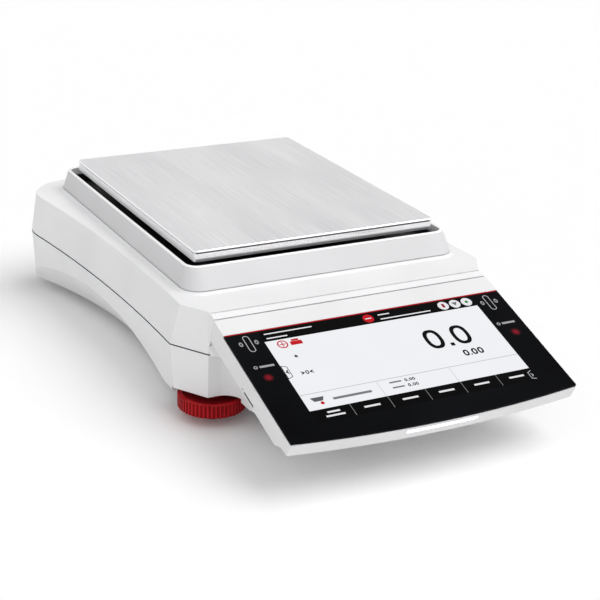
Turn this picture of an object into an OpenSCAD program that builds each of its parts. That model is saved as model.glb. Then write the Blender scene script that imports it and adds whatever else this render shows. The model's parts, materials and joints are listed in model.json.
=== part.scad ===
// Top-loading precision balance with a tilted touch terminal, millimetres.
// Origin on the table under the middle of the part, +Z up, the terminal faces -Y.

/* [Casing] */
// Width across the waist at the parting line
waist_w = 218; // [214:1:224]
// Distance from the middle to the rear wall
rear_y = 198; // [194:0.5:202]
// Distance from the middle to the front wall
front_y = 84; // [83:0.5:86]
// Width of the casing's front wall between the chamfered corners
front_w = 190; // [188:1:194]
// Depth of the chamfered front corners
chamfer_d = 24; // [20:1:28]
// Radius of the side walls' inward curve
side_r = 1200; // [1000:10:1300]
// Place of the waist along the depth
waist_y = -15; // [-24:1:-4]
// Radius of the rear corners
rear_corner_r = 36; // [28:1:40]
// Height of the parting line between base and top
parting_z = 46.5; // [45:0.5:48]
// Height of the shelf round the pan frame
shelf_z = 74.5; // [73:0.5:75.5]
// Height of the belly above the table
belly_z = 7; // [6:0.5:8]
// Height of the front walls' lower edge
skirt_z = 16; // [15:0.5:17]
// Lean of the upper walls over their height
top_draft = 4; // [2:0.5:5]
// Lean of the base walls over their height
base_draft = 2.5; // [1:0.5:4]
// Wall thickness of the base
base_wall = 3; // [2.5:0.1:3.4]
// Wall thickness of the top
top_wall = 2.5; // [2:0.1:3]

/* [Hand-holds] */
// Place of the arch along the depth
arch_y = 44; // [36:1:52]
// Height of the arch in the side wall
arch_z = 34.3; // [32:0.1:36]
// Radius of the scooped surface
scoop_r = 425; // [400:5:460]
// Lean of the scooped surface from upright, degrees
scoop_lean = 38; // [34:1:40]

/* [Pan and frame] */
// Width of the pan
pan_w = 172; // [168:1:175]
// Depth of the pan
pan_d = 210; // [206:1:213]
// Height of the pan's top above the table
pan_z = 97; // [96.5:0.1:98]
// Height of the pan's folded skirt
pan_skirt = 7.4; // [6:0.1:8]
// Sheet thickness of the pan
pan_sheet = 1.2; // [1:0.1:1.5]
// Place of the pan's middle along the depth
pan_y = 63; // [62:0.5:64]
// Gap between the pan and the frame's inner wall
pan_gap = 5; // [4:0.1:6]
// Height of the frame's rim
rim_z = 89.8; // [88:0.1:91]
// Width of the frame's rim
rim_t = 2.2; // [1.8:0.1:2.6]
// Height of the plinth under the frame
plinth_h = 2; // [1.5:0.1:2.5]

/* [Terminal] */
// Tilt of the terminal, degrees
slope_tilt = 18; // [17:0.5:19]
// Width of the terminal
terminal_w = 191; // [189:0.5:192]
// Length of the terminal's side edges along the slope
terminal_len = 113.4; // [110:0.1:116]
// Bow of the front edge
front_bow = 5.5; // [4:0.1:7]
// Depth of the terminal's sides below the glass
terminal_t = 18; // [17.5:0.1:18.5]
// Length of the slope strip that belongs to the top casing
strip_len = 6.2; // [5.5:0.1:7.5]
// Distance of the glass from the slope's upper edge
glass_start = 21.3; // [20:0.1:22]
// Thickness of the cover glass
glass_t = 1.8; // [1.4:0.1:2]
// Width of the black border beside the lit screen
screen_border = 21.5; // [20.5:0.5:24]
// Length of the status light
light_len = 48; // [40:1:56]
// Thickness of the status light
light_t = 2.6; // [2:0.1:3]

/* [Levelling feet] */
// Distance of the wheels from the middle line
wheel_x = 86; // [85:0.5:87]
// Distance of the wheels in front of the middle
wheel_y = 70.5; // [69.5:0.5:71.5]
// Radius of the wheels
wheel_r = 21.3; // [20:0.1:22]
// Thickness of the wheels
wheel_t = 8.5; // [7.5:0.1:9]
// Height of the wheels' lower face above the table
wheel_z = 6.8; // [6.4:0.1:7.2]
// Number of ridges round a wheel
ridges = 52; // [44:1:60]
// Radius of the threaded studs
stud_r = 4; // [3.5:0.1:4.5]
// Clearance of the studs in their bushes
stud_clear = 0.05; // [0.02:0.01:0.08]

/* [Weighing cell] */
// Width of the cell frame
cell_w = 68; // [64:1:72]
// Height of the cell frame's top
cell_top_z = 60; // [58:0.5:61]
// Radius of the load post
post_r = 7; // [6:0.1:8]
// Length of the lever's short arm
short_arm = 18; // [16:0.5:20]
// Radius of the coil's former
coil_r = 11.5; // [11:0.1:12]
// Radial play of the coil in the magnet gap
coil_play = 1.1; // [0.9:0.1:1.4]
// Radius of the lever's pin
pin_r = 1.5; // [1.2:0.1:2]
// Clearance of the lever on its pin
pin_clear = 0.04; // [0.02:0.01:0.08]

/* [Hidden] */
$fn = 64;

white = "#e6e6e6";
grey = "#d2d2d3";
black = "#141416";
red = "#a51e22";
steel = "#b9babc";
brass = "#b08d4a";
green = "#1f5b3a";
alloy = "#c3c5c8";

// Cuts run past the faces they open by this much
over = 1;
// Rounded corners cross their neighbours by this much instead of only touching them
bite = 0.12;
// Gap that keeps neighbouring pieces apart
gap = 0.3;
casing_reach = 150;
fine = 720;

// Base floor and cavity
floor_z = belly_z + base_wall;
front_floor_z = skirt_z + base_wall;
belly_front_y = -44;
groove = 0.8;
groove_in = 1.2;
edge_break = 0.6;

// Lean of the walls at a height
function base_in(z) = base_draft * (parting_z - z) / (parting_z - belly_z);
function top_in(z) = top_draft * (z - parting_z) / (shelf_z - parting_z);

// Centre of the rear corners, tangent to the curved side and the rear wall
corner_cy = rear_y - rear_corner_r;
corner_cx = waist_w / 2 + side_r - sqrt(pow(side_r + rear_corner_r, 2) - pow(corner_cy - waist_y, 2));
corner_turn = asin((corner_cy - waist_y) / (side_r + rear_corner_r));

// Chamfered front corners
side_at_chamfer = waist_w / 2 + side_r - sqrt(pow(side_r, 2) - pow(front_y - chamfer_d + waist_y, 2));
chamfer_turn = atan2(chamfer_d, side_at_chamfer - front_w / 2);

// Slope of the terminal
brow = 1.4;
brow_y = front_y + brow;
joint_gap = 1;
line_w = 1;
tray_start = strip_len + joint_gap;
bow_r = (pow(terminal_w / 2, 2) + pow(front_bow, 2)) / (2 * front_bow);
bow_cy = bow_r - terminal_len - front_bow;
shell_wall = 2.5;
// Distance down the slope where the tub's floor starts to rise
rise_y = terminal_len - 21;
lip_lean = 0.15;
foot_chamfer = 2.6;
glass_w = terminal_w - 0.6;
slope_floor = terminal_t - shell_wall;
// The terminal's rear foot stops just short of the casing's front wall
tray_drop = (brow + tray_start * cos(slope_tilt) - 0.8 * joint_gap) / sin(slope_tilt);

// Pan frame
frame_in_w = pan_w + 2 * pan_gap;
frame_in_d = pan_d + 2 * pan_gap;
frame_in_r = 7;
rim_w = frame_in_w + 2 * rim_t;
rim_d = frame_in_d + 2 * rim_t;
frame_z = shelf_z + plinth_h;
shadow_h = 0.6;
shadow_d = 1.2;
frame_side_flare = 3.3;
frame_front_flare = 7.7;
frame_rear_flare = 4.2;

// Weighing cell heights and places
cell_pad_z = floor_z + 4;
cell_plate_t = 4;
cell_plate_z = cell_pad_z + cell_plate_t;
guide_t = 2.5;
guide_low_z = cell_plate_z + 2;
lever_z = 37;
lever_h = 7;
lever_w = 10;
fulcrum_y = pan_y + 8 + short_arm;
coil_y = pan_y + 75;
receiver_w = 28;
receiver_d = 22;
guide_rear_y = pan_y + 71;
cell_rear_y = pan_y + 101;
cheek_w = 15;
cell_bolts = [for (x = [-1, 1], y = [pan_y - 7, pan_y + 93]) [x * (cell_w / 2 + 6), y]];

// Levelling feet
recess_r = wheel_r + 3.2;
recess_z = wheel_z + wheel_t + 3.2;
bush_r = stud_r + 2.5;
bush_h = 15;
boss_top_z = parting_z - 4;
pad_r = 8.5;
pad_h = 5.5;
stud_foot_r = stud_r - 1.1;
stud_foot_z = 2.4;
stud_top_z = recess_z + 17.5;

// Rear feet
rear_foot_x = 80;
rear_foot_y = rear_y - 26;

// Screws
casing_screws = [[88, 146], [74, 41], [76, -30]];
casing_screw_r = 2;
casing_head_r = 3.8;
casing_seat_z = parting_z - 12.5;
board_z = floor_z + 10;
board_t = 1.6;
board_rear_y = rear_y - 8;
board_left = 64;
board_right = 78;
board_inner = 48;
board_front_y = 88;
socket_row = 13;
board_posts = [[-43, board_rear_y - 6], [15, board_rear_y - 6], [72, board_rear_y - 6], [52, 100], [74, 100]];
board_screw_r = 1.25;
small_head_r = 2.4;
small_head_h = 1.8;
dc_x = -55;
device_x = -30;
host_x = -3;
serial_x = 41;
jack_x = 12.5;
port_y = rear_y - 1.4;
serial_y = rear_y - 3.6;
board_top = board_z + board_t;

// Support and well
well_floor = 2;
well_z = frame_z + well_floor;
well_bolts = [for (x = [-1, 1], y = [-1, 1]) [x * (pan_w / 2 - 20), pan_y + y * (pan_d / 2 - 30)]];
support_z = well_z + 6.5;
support_t = 3.5;
support_w = pan_w - 44;
support_d = pan_d - 54;
pad_places = [for (x = [-1, 1], y = [-1, 1]) [x * (support_w / 2 - 8), pan_y + y * (support_d / 2 - 8)]];
pan_under_z = pan_z - pan_sheet;
post_hole_r = post_r + 13;

// Terminal inside
panel_edge = 5;
screen_w = terminal_w - 2 * screen_border;
panel_w = screen_w + 2 * panel_edge;
panel_near = glass_start + 3.7;
panel_far = terminal_len - 9.4;
panel_t = 4.8;
panel_bed = glass_t + panel_t;
frame_top = shell_wall + 0.1;
panel_frame_t = 4.4;
tray_posts = [for (x = [-1, 1], y = [-glass_start + 3.3, 15.4 - terminal_len]) [x * (terminal_w / 2 - 9.5), y]];
board_w0 = -11.6;
board_side = 23.5;
board_near = 30;
board_far = terminal_len - 23.4;
stand_in = 6;
terminal_board_w = terminal_w - 2 * board_side;
board_stand = [for (x = [-1, 1], y = [-board_near - 14, 8 - board_far])
    [x * (terminal_board_w / 2 - stand_in), y]];
sensor_x = terminal_w / 2 - (screen_border - panel_edge) / 2 - 2.75;
sensor_y = -61;
light_w = -5;
light_depth = 6.5;
slot_y = -62;
slot_len = 13;
slot_h = 1.6;
slot_w = -13.6;
nose_w = 154;
nose_front = front_y + 70;
nose_flat = front_y + 20;
nose_blend = 12;
terminal_bolts = [[-45, -48], [45, -48], [0, -60]];

// Flat cable
cable_x = 50;
cable_w = 14;

// Underside cover
cover_hole_r = 11;
cover_pivot_x = 24;
cover_t = 1.8;
cover_z = belly_z - gap - cover_t;

// A polygon in depth and height, drawn right across the part
module across(w) {
    rotate([90, 0, 90])
        translate([0, 0, -w / 2])
            linear_extrude(w) children();
}

// Both sides of the part
module both_sides() {
    children();
    mirror([1, 0, 0]) children();
}

// Cone between two heights, run on past both ends
module cone_span(z0, r0, z1, r1, past) {
    lean = (r1 - r0) / (z1 - z0);
    translate([0, 0, z0 - past])
        cylinder(h = z1 - z0 + 2 * past, r1 = r0 - lean * past, r2 = r1 + lean * past, $fn = fine);
}

// Block with rounded upright edges, centred in plan, standing on z = 0
module rounded_block(w, d, h, r) {
    translate([-w / 2 + r, -d / 2, 0]) cube([w - 2 * r, d, h]);
    translate([-w / 2, -d / 2 + r, 0]) cube([w, d - 2 * r, h]);
    for (x = [-1, 1], y = [-1, 1])
        translate([x * (w / 2 - r), y * (d / 2 - r), 0]) cylinder(r = r, h = h);
}

// Four thin discs at the corners of a rounded rectangle, for a hull
module corner_discs(w, y0, y1, z, r) {
    for (x = [-1, 1], y = [y0 + r, y1 - r])
        translate([x * (w / 2 - r), y, z]) cylinder(r = r, h = 0.01, $fn = 48);
}

// Frame of the tilted terminal: x across, y up the slope, z out of the glass
module slope() {
    translate([0, -brow_y, shelf_z]) rotate([slope_tilt, 0, 0]) children();
}

// Waisted casing form between two heights; in0 and in1 are the walls' lean there
module casing_form(inset, z0, in0, z1, in1) {
    difference() {
        across(2 * casing_reach) polygon([
            [-front_y + inset, z0], [rear_y - inset - in0, z0],
            [rear_y - inset - in1, z1], [-front_y + inset, z1]]);
        both_sides() {
            translate([waist_w / 2 + side_r, waist_y, 0])
                cone_span(z0, side_r + inset + in0, z1, side_r + inset + in1, over);
            translate([corner_cx + bite, corner_cy + bite, 0]) difference() {
                translate([0, 0, z0 - over]) linear_extrude(z1 - z0 + 2 * over) polygon([
                    [0, 0], casing_reach * [cos(corner_turn), -sin(corner_turn)],
                    [casing_reach, casing_reach], [0, casing_reach]]);
                cone_span(z0, rear_corner_r - inset - in0, z1, rear_corner_r - inset - in1, 2 * over);
            }
            translate([front_w / 2, -front_y, z0 - over])
                rotate([0, 0, chamfer_turn])
                    translate([-casing_reach, inset - casing_reach, 0])
                        cube([2 * casing_reach, casing_reach, z1 - z0 + 2 * over]);
        }
    }
}

// Scooped underside of the hand-holds; grow thickens it for the wall behind
module scoops(grow) {
    wall_x = waist_w / 2 - base_in(arch_z) + pow(arch_y - waist_y, 2) / (2 * side_r);
    both_sides()
        translate([wall_x + scoop_r * cos(scoop_lean), arch_y, arch_z - scoop_r * sin(scoop_lean)])
            rotate([0, scoop_lean, 0])
                cylinder(r = scoop_r + grow, h = 3 * casing_reach, center = true, $fn = fine);
}

module wheel_recesses(grow) {
    both_sides()
        translate([wheel_x, -wheel_y, -over]) cylinder(r = recess_r + grow, h = recess_z + grow + over);
}

// Outer side profile of the terminal in the slope's frame: distance down the slope, height
module terminal_profile() {
    polygon([[-tray_start, 0], [-tray_start, -tray_drop], [-12, 0.4 - tray_drop], [-16.5, -20],
        [-21, -terminal_t],
        [-rise_y, -terminal_t], [-rise_y - 5, -15.5], [-rise_y - 12.5, -11], [-casing_reach, -10],
        [-casing_reach, 0]]);
}

// Room under the terminal's profile
module terminal_block() {
    slope() across(2 * casing_reach) terminal_profile();
}

// Nose that carries the terminal, with blends into the front wall
module nose_form() {
    difference() {
        union() {
            across(nose_w) polygon([[-front_y + 2, skirt_z], [-nose_flat, skirt_z], [-nose_front, skirt_z + 9],
                [-nose_front, parting_z + 7], [-front_y - 6, parting_z + 7], [-front_y - 6, parting_z],
                [-front_y + 2, parting_z]]);
            both_sides() difference() {
                translate([nose_w / 2 - over, -front_y - nose_blend, skirt_z])
                    cube([nose_blend + over, nose_blend + over, parting_z - skirt_z]);
                translate([nose_w / 2 + nose_blend - bite, -front_y - nose_blend + bite, 0])
                    cylinder(r = nose_blend, h = shelf_z);
            }
        }
        terminal_block();
        slope() translate([-casing_reach, -casing_reach - tray_start, -over])
            cube([2 * casing_reach, casing_reach, casing_reach]);
    }
}

module nose_room() {
    intersection() {
        across(nose_w - 2 * base_wall)
            polygon([[-front_y + 10, front_floor_z], [over - nose_flat, front_floor_z],
            [-nose_front + base_wall, skirt_z + 12.2], [-nose_front + base_wall, parting_z - 3.5],
            [-front_y + 10, parting_z - 3.5]]);
        slope() translate([-casing_reach, -casing_reach, -casing_reach])
            cube([2 * casing_reach, 2 * casing_reach, casing_reach - terminal_t - base_wall]);
    }
}

module foot_bosses() {
    both_sides()
        translate([wheel_x, -wheel_y, recess_z]) cylinder(r = bush_r + 3, h = boss_top_z - recess_z);
}

module base_posts() {
    both_sides()
        for (p = casing_screws)
            translate([p[0], p[1], belly_z]) cylinder(r = casing_head_r + 2.7, h = casing_reach);
    for (p = cell_bolts)
        translate([p[0], p[1], belly_z]) cylinder(r = 6, h = cell_pad_z - belly_z);
    for (p = board_posts)
        translate([p[0], p[1], belly_z]) cylinder(r = 3.6, h = board_z - belly_z);
}

module base_room() {
    difference() {
        union() {
            difference() {
                casing_form(base_wall, floor_z, base_in(floor_z), parting_z + over, base_in(parting_z + over));
                translate([-casing_reach, -casing_reach, 0])
                    cube([2 * casing_reach, casing_reach + belly_front_y + base_wall, front_floor_z]);
            }
            nose_room();
        }
        scoops(base_wall);
        wheel_recesses(base_wall);
        foot_bosses();
        base_posts();
    }
}

// Openings for the sockets in the rear wall
module port_openings() {
    for (p = [[dc_x, 10, 12], [device_x, 13, 12], [host_x, 15.5, 8], [serial_x, 33, 14]])
        translate([p[0] - p[1] / 2, rear_y - 12, board_top - 0.5]) cube([p[1], 30, p[2]]);
}

module base_housing() {
    color(grey) difference() {
        union() {
            difference() {
                casing_form(0, belly_z, base_in(belly_z), parting_z, 0);
                translate([-casing_reach, -casing_reach, 0])
                    cube([2 * casing_reach, casing_reach + belly_front_y, skirt_z]);
            }
            nose_form();
        }
        scoops(0);
        wheel_recesses(0);
        base_room();
        port_openings();
        both_sides() {
            translate([wheel_x, -wheel_y, 0]) {
                cylinder(r = bush_r, h = recess_z + bush_h);
                cylinder(r = stud_r + 0.6, h = shelf_z);
            }
            translate([rear_foot_x, rear_foot_y, 0]) cylinder(r = 9.3, h = belly_z + 1.2);
            for (p = casing_screws)
                translate([p[0], p[1], 0]) {
                    cylinder(r = casing_head_r + 0.4, h = casing_seat_z);
                    cylinder(r = casing_screw_r + 0.2, h = shelf_z);
                }
        }
        for (p = cell_bolts)
            translate([p[0], p[1], belly_z + 1.5]) cylinder(r = 2.05, h = 30);
        for (p = board_posts)
            translate([p[0], p[1], belly_z + 2]) cylinder(r = board_screw_r + 0.05, h = 30);
        translate([0, pan_y, 0]) cylinder(r = cover_hole_r, h = floor_z + over);
        translate([cover_pivot_x, pan_y, 0]) cylinder(r = 2.05, h = floor_z + over);
        slope() for (p = terminal_bolts)
            translate([p[0], p[1], -60]) {
                cylinder(r = 1.7, h = 60);
                cylinder(r = 4, h = 60 - terminal_t - base_wall);
            }
    }
}

// Raised bed of the pan frame, with a shadow line under the frame's foot
module plinth() {
    foot_w = rim_w + 2 * frame_side_flare;
    foot_front = pan_y - rim_d / 2 - frame_front_flare;
    foot_rear = pan_y + rim_d / 2 + frame_rear_flare;
    hull() {
        corner_discs(foot_w + 5, foot_front - 2.5, foot_rear + 2.5, shelf_z - 0.1, 14);
        corner_discs(foot_w + 1, foot_front - 0.5, foot_rear + 0.5, frame_z - shadow_h - 0.01, 12);
    }
    translate([0, (foot_front + foot_rear) / 2, shelf_z])
        rounded_block(foot_w - 2 * shadow_d, foot_rear - foot_front - 2 * shadow_d, plinth_h, 12 - shadow_d);
}

// Sloping strip along the shelf's front edge
module slope_strip() {
    intersection() {
        slope() translate([-front_w / 2, -strip_len, -40]) cube([front_w, 50, 40]);
        translate([-casing_reach, -front_y - 20, parting_z + groove])
            cube([2 * casing_reach, 30, shelf_z - parting_z - groove]);
    }
}

// Upper walls with their bevelled top edge
module top_form() {
    break_in = top_in(shelf_z - edge_break);
    low_z = parting_z - over;
    high_z = shelf_z + over;
    intersection() {
        casing_form(0, parting_z + groove, top_in(parting_z + groove), shelf_z, top_in(shelf_z));
        casing_form(0, low_z, break_in + edge_break - shelf_z + low_z, high_z, break_in + edge_break + over);
    }
}

module top_housing() {
    color(white) difference() {
        union() {
            casing_form(groove_in, parting_z, 0, parting_z + 4 * groove, top_in(parting_z + 4 * groove));
            top_form();
            slope_strip();
            plinth();
        }
        difference() {
            casing_form(top_wall, parting_z - over, 0, shelf_z - top_wall, top_in(shelf_z - top_wall));
            both_sides()
                for (p = casing_screws)
                    translate([p[0], p[1], parting_z]) cylinder(r = 5, h = shelf_z - parting_z);
        }
        both_sides()
            for (p = casing_screws)
                translate([p[0], p[1], parting_z - over]) cylinder(r = casing_screw_r + 0.05, h = 12);
        translate([0, pan_y, shelf_z - 10]) cylinder(r = post_hole_r, h = 20);
        for (p = well_bolts)
            translate([p[0], p[1], shelf_z - 10]) cylinder(r = 1.55, h = 20);
        slope() translate([cable_x - 3, -20, -15]) cube([cable_w + 6, 40, 5]);
        slope() translate([-front_w / 2 - over, -line_w, -line_w]) cube([front_w + 2 * over, line_w, 5]);
    }
}

module frame_form(shrink, z0, z1) {
    hull() {
        corner_discs(rim_w + 2 * frame_side_flare - 2 * shrink, pan_y - rim_d / 2 - frame_front_flare + shrink,
            pan_y + rim_d / 2 + frame_rear_flare - shrink, z0, 12 - shrink);
        corner_discs(rim_w - 2 * shrink, pan_y - rim_d / 2 + shrink, pan_y + rim_d / 2 - shrink, z1 - 0.7,
            9 - shrink);
        corner_discs(rim_w - 2 * shrink - 1, pan_y - rim_d / 2 + shrink + 0.5, pan_y + rim_d / 2 - shrink - 0.5,
            z1 - 0.01, 8.5 - shrink);
    }
}

module pan_frame() {
    color(white) difference() {
        frame_form(0, frame_z, rim_z);
        translate([0, pan_y, frame_z - over]) rounded_block(frame_in_w, frame_in_d, 30, frame_in_r);
        difference() {
            frame_form(2, frame_z - over, rim_z - 2);
            translate([0, pan_y, frame_z - 2 * over])
                rounded_block(frame_in_w + 4, frame_in_d + 4, 30, frame_in_r + 2);
        }
    }
}

module weigh_well() {
    w = frame_in_w - 2 * gap;
    d = frame_in_d - 2 * gap;
    color(black) translate([0, pan_y, frame_z]) difference() {
        union() {
            difference() {
                rounded_block(w, d, 8, frame_in_r - gap);
                translate([0, 0, well_floor]) rounded_block(w - 3, d - 3, 10, frame_in_r - gap - 1.5);
            }
            cylinder(r = post_hole_r, h = well_floor + 2.5);
        }
        translate([0, 0, -over]) cylinder(r = post_hole_r - 2, h = 10);
        for (p = well_bolts)
            translate([p[0], p[1] - pan_y, -over]) cylinder(r = 1.7, h = 10);
    }
}

// Folded pan: the skirt stands back under the sheet behind a fine groove
module pan() {
    set_back = 0.4;
    groove_d = 0.8;
    groove_h = 0.8;
    color(steel) translate([0, pan_y, 0]) {
        translate([0, 0, pan_z - pan_sheet]) rounded_block(pan_w, pan_d, pan_sheet, 3);
        translate([0, 0, pan_z - pan_skirt]) difference() {
            union() {
                rounded_block(pan_w - 2 * set_back, pan_d - 2 * set_back, pan_skirt - pan_sheet - groove_h,
                    3 - set_back);
                rounded_block(pan_w - 2 * set_back - 2 * groove_d, pan_d - 2 * set_back - 2 * groove_d,
                    pan_skirt - pan_sheet / 2, 3 - set_back - groove_d);
            }
            translate([0, 0, -over])
                rounded_block(pan_w - 2 * set_back - 3 * pan_sheet, pan_d - 2 * set_back - 3 * pan_sheet,
                    pan_skirt + over - pan_sheet, 1);
        }
    }
}

module pan_support() {
    rib = 10;
    color(alloy) difference() {
        union() {
            translate([0, pan_y, support_z]) difference() {
                rounded_block(support_w, support_d, support_t, 12);
                translate([0, 0, -over]) rounded_block(support_w - 2 * rib - 8, support_d - 2 * rib - 8, 10, 8);
            }
            for (turn = [-1, 1])
                translate([0, pan_y, support_z + support_t / 2])
                    rotate([0, 0, turn * atan2(support_d - 24, support_w - 24)])
                        cube([norm([support_d, support_w]) - 36, rib, support_t], center = true);
            translate([0, pan_y, support_z - 3]) cylinder(r = 14, h = support_t + 4.5);
        }
        translate([0, pan_y, support_z - 4]) cylinder(r = post_r - 1.95, h = 8.5);
        for (p = pad_places)
            translate([p[0], p[1], support_z - over]) cylinder(r = 2.5, h = 10);
    }
}

module support_pads() {
    color("#3a3b3e") for (p = pad_places)
        translate([p[0], p[1], 0]) {
            translate([0, 0, support_z + support_t]) cylinder(r = 6, h = pan_under_z - support_z - support_t);
            translate([0, 0, support_z]) cylinder(r = 2.5, h = support_t + 0.5);
        }
}

// Red hand wheel: ridges between upright notches, and a dished top
module wheel() {
    notch = 0.5 * 2 * PI * wheel_r / ridges;
    color(red) translate([wheel_x, -wheel_y, wheel_z]) difference() {
        cylinder(r = wheel_r, h = wheel_t, $fn = 120);
        for (i = [0 : ridges - 1])
            rotate([0, 0, i * 360 / ridges])
                translate([wheel_r + bite, 0, wheel_t / 2]) rotate([0, 0, 45])
                    cube([notch, notch, 2 * wheel_t], center = true);
        translate([0, 0, -over]) cylinder(r = stud_r, h = wheel_t + 2 * over);
        translate([0, 0, wheel_t - 0.8]) difference() {
            cylinder(r = wheel_r - 3.2, h = 2);
            translate([0, 0, -over]) cylinder(r = stud_r + 4, h = 4);
        }
    }
}

module stud() {
    color(steel) translate([wheel_x, -wheel_y, 0]) {
        translate([0, 0, stud_foot_z]) cylinder(r = stud_foot_r, h = wheel_z - stud_foot_z + 0.5);
        translate([0, 0, wheel_z]) cylinder(r = stud_r, h = stud_top_z - wheel_z - 1);
        translate([0, 0, stud_top_z - 1]) cylinder(r1 = stud_r, r2 = stud_r - 1, h = 1);
    }
}

module foot_pad() {
    color("#232326") translate([wheel_x, -wheel_y, 0])
        rotate_extrude() polygon([[0, 0], [pad_r - 0.8, 0], [pad_r, 0.8], [pad_r, pad_h - 1.5],
            [pad_r - 2, pad_h], [stud_foot_r + stud_clear, pad_h], [stud_foot_r + stud_clear, stud_foot_z],
            [0, stud_foot_z]]);
}

module left_wheel() { mirror([1, 0, 0]) wheel(); }
module right_wheel() { wheel(); }
module left_stud() { mirror([1, 0, 0]) stud(); }
module right_stud() { stud(); }
module left_pad() { mirror([1, 0, 0]) foot_pad(); }
module right_pad() { foot_pad(); }

module foot_bushes() {
    color(brass) both_sides()
        translate([wheel_x, -wheel_y, recess_z]) difference() {
            cylinder(r = bush_r, h = bush_h);
            translate([0, 0, -over]) cylinder(r = stud_r + stud_clear, h = bush_h + 2 * over);
        }
}

module rear_feet() {
    color("#232326") both_sides()
        translate([rear_foot_x, rear_foot_y, 0])
            rotate_extrude() polygon([[0, 0], [7.6, 0], [9, 1.4], [9, belly_z + 1.2], [0, belly_z + 1.2]]);
}

// Fixed frame of the weighing cell: plate, rear cheeks and the posts of the lever's pin
module cell_frame() {
    post_h = lever_z + lever_h - cell_plate_z;
    color(alloy) difference() {
        union() {
            translate([-cell_w / 2 - 12, pan_y - 17, cell_pad_z]) cube([cell_w + 24, 118, cell_plate_t]);
            both_sides() {
                translate([cell_w / 2 - cheek_w, guide_rear_y + 8, cell_plate_z - over])
                    cube([cheek_w, cell_rear_y - guide_rear_y - 8, cell_top_z - cell_plate_z + over]);
                translate([cell_w / 2 - cheek_w, guide_rear_y - 6, guide_low_z + guide_t + 2 * gap])
                    cube([cheek_w, 16, cell_top_z - guide_low_z - guide_t - 2 * gap]);
                translate([cell_w / 2 - cheek_w, guide_rear_y - 6, cell_plate_z - over])
                    cube([cheek_w, 12, guide_low_z - cell_plate_z + over]);
                translate([lever_w / 2 + gap + 0.2, fulcrum_y - 5, cell_plate_z - over])
                    cube([5, 10, post_h + over]);
            }
        }
        for (p = cell_bolts)
            translate([p[0], p[1], 0]) cylinder(r = 2.2, h = 60);
        translate([0, pan_y, 0]) cylinder(r = 9, h = cell_plate_z + over);
        translate([0, fulcrum_y, lever_z + lever_h / 2]) rotate([0, 90, 0])
            cylinder(r = pin_r, h = 60, center = true);
        both_sides() translate([cell_w / 2 - cheek_w / 2, guide_rear_y, cell_top_z - 8])
            cylinder(r = 1.55, h = 20);
    }
}

module cap_screw(r, head_r, head_h, len) {
    difference() {
        cylinder(r = head_r, h = head_h);
        translate([0, 0, head_h * 0.45]) cylinder(r = head_r * 0.55, h = head_h, $fn = 6);
    }
    translate([0, 0, -len]) cylinder(r = r, h = len + 0.1);
}

module cell_screws() {
    color(steel) for (p = cell_bolts)
        translate([p[0], p[1], cell_plate_z]) cap_screw(2, 3.6, 3.5, 9);
}

// Parallel guide: a tapered plate with two thin flexing necks
module guide(z) {
    front_y0 = pan_y - receiver_d / 2;
    neck_t = 0.8;
    color(alloy) difference() {
        translate([0, 0, z]) linear_extrude(guide_t) polygon([
            [-receiver_w / 2, front_y0], [receiver_w / 2, front_y0], [receiver_w / 2, pan_y + receiver_d / 2],
            [cell_w / 2, guide_rear_y - 8], [cell_w / 2, guide_rear_y + 6], [-cell_w / 2, guide_rear_y + 6],
            [-cell_w / 2, guide_rear_y - 8], [-receiver_w / 2, pan_y + receiver_d / 2]]);
        translate([0, 0, z - over]) linear_extrude(guide_t + 2 * over) polygon([
            [-13, pan_y + receiver_d / 2 + 8], [13, pan_y + receiver_d / 2 + 8],
            [cell_w / 2 - cheek_w - 1, guide_rear_y - 10], [cell_w / 2 - cheek_w - 1, guide_rear_y + 10],
            [-cell_w / 2 + cheek_w + 1, guide_rear_y + 10], [-cell_w / 2 + cheek_w + 1, guide_rear_y - 10]]);
        for (y = [pan_y + receiver_d / 2 + 4, guide_rear_y - 10], s = [-1, 1])
            translate([0, y, z + guide_t / 2 + s * (neck_t / 2 + 3)]) rotate([0, 90, 0])
                cylinder(r = 3, h = 2 * cell_w, center = true);
        translate([0, pan_y, z - over]) cylinder(r = post_r + 1.2, h = 10);
        both_sides() translate([cell_w / 2 - cheek_w / 2, guide_rear_y, z - over]) cylinder(r = 1.7, h = 10);
    }
}

module upper_guide() { guide(cell_top_z + gap); }
module lower_guide() { guide(guide_low_z + gap); }

module guide_screws() {
    color(steel) both_sides()
        translate([cell_w / 2 - cheek_w / 2, guide_rear_y, cell_top_z + guide_t + 2 * gap])
            cap_screw(1.5, 2.8, 2.4, 9.5);
}

// Upright block that carries the load, with a window for the lever's tip
module load_receiver() {
    low = guide_low_z + guide_t + 2 * gap;
    color(alloy) difference() {
        translate([-receiver_w / 2, pan_y - receiver_d / 2, low])
            cube([receiver_w, receiver_d, cell_top_z - low]);
        translate([-lever_w / 2 - 1.5, pan_y - 20, lever_z - 1.5]) cube([lever_w + 3, 40, lever_h + 3]);
        translate([0, pan_y, low - over]) cylinder(r = 2.1, h = 9);
        translate([0, pan_y, cell_top_z - 9]) cylinder(r = 3, h = 20);
    }
}

module load_post() {
    color(steel) translate([0, pan_y, 0]) {
        translate([0, 0, cell_top_z - 9]) cylinder(r = 3, h = 9.5);
        translate([0, 0, cell_top_z]) cylinder(r = post_r, h = support_z - 3 - cell_top_z);
        translate([0, 0, support_z - 4]) cylinder(r = post_r - 2, h = 7.5);
        translate([0, 0, support_z + 3.5]) cylinder(r1 = post_r - 2, r2 = post_r - 3, h = 1);
    }
}

module fulcrum_pin() {
    color(steel) translate([0, fulcrum_y, lever_z + lever_h / 2]) rotate([0, 90, 0])
        cylinder(r = pin_r, h = lever_w + 2 * gap + 10, center = true);
}

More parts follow.
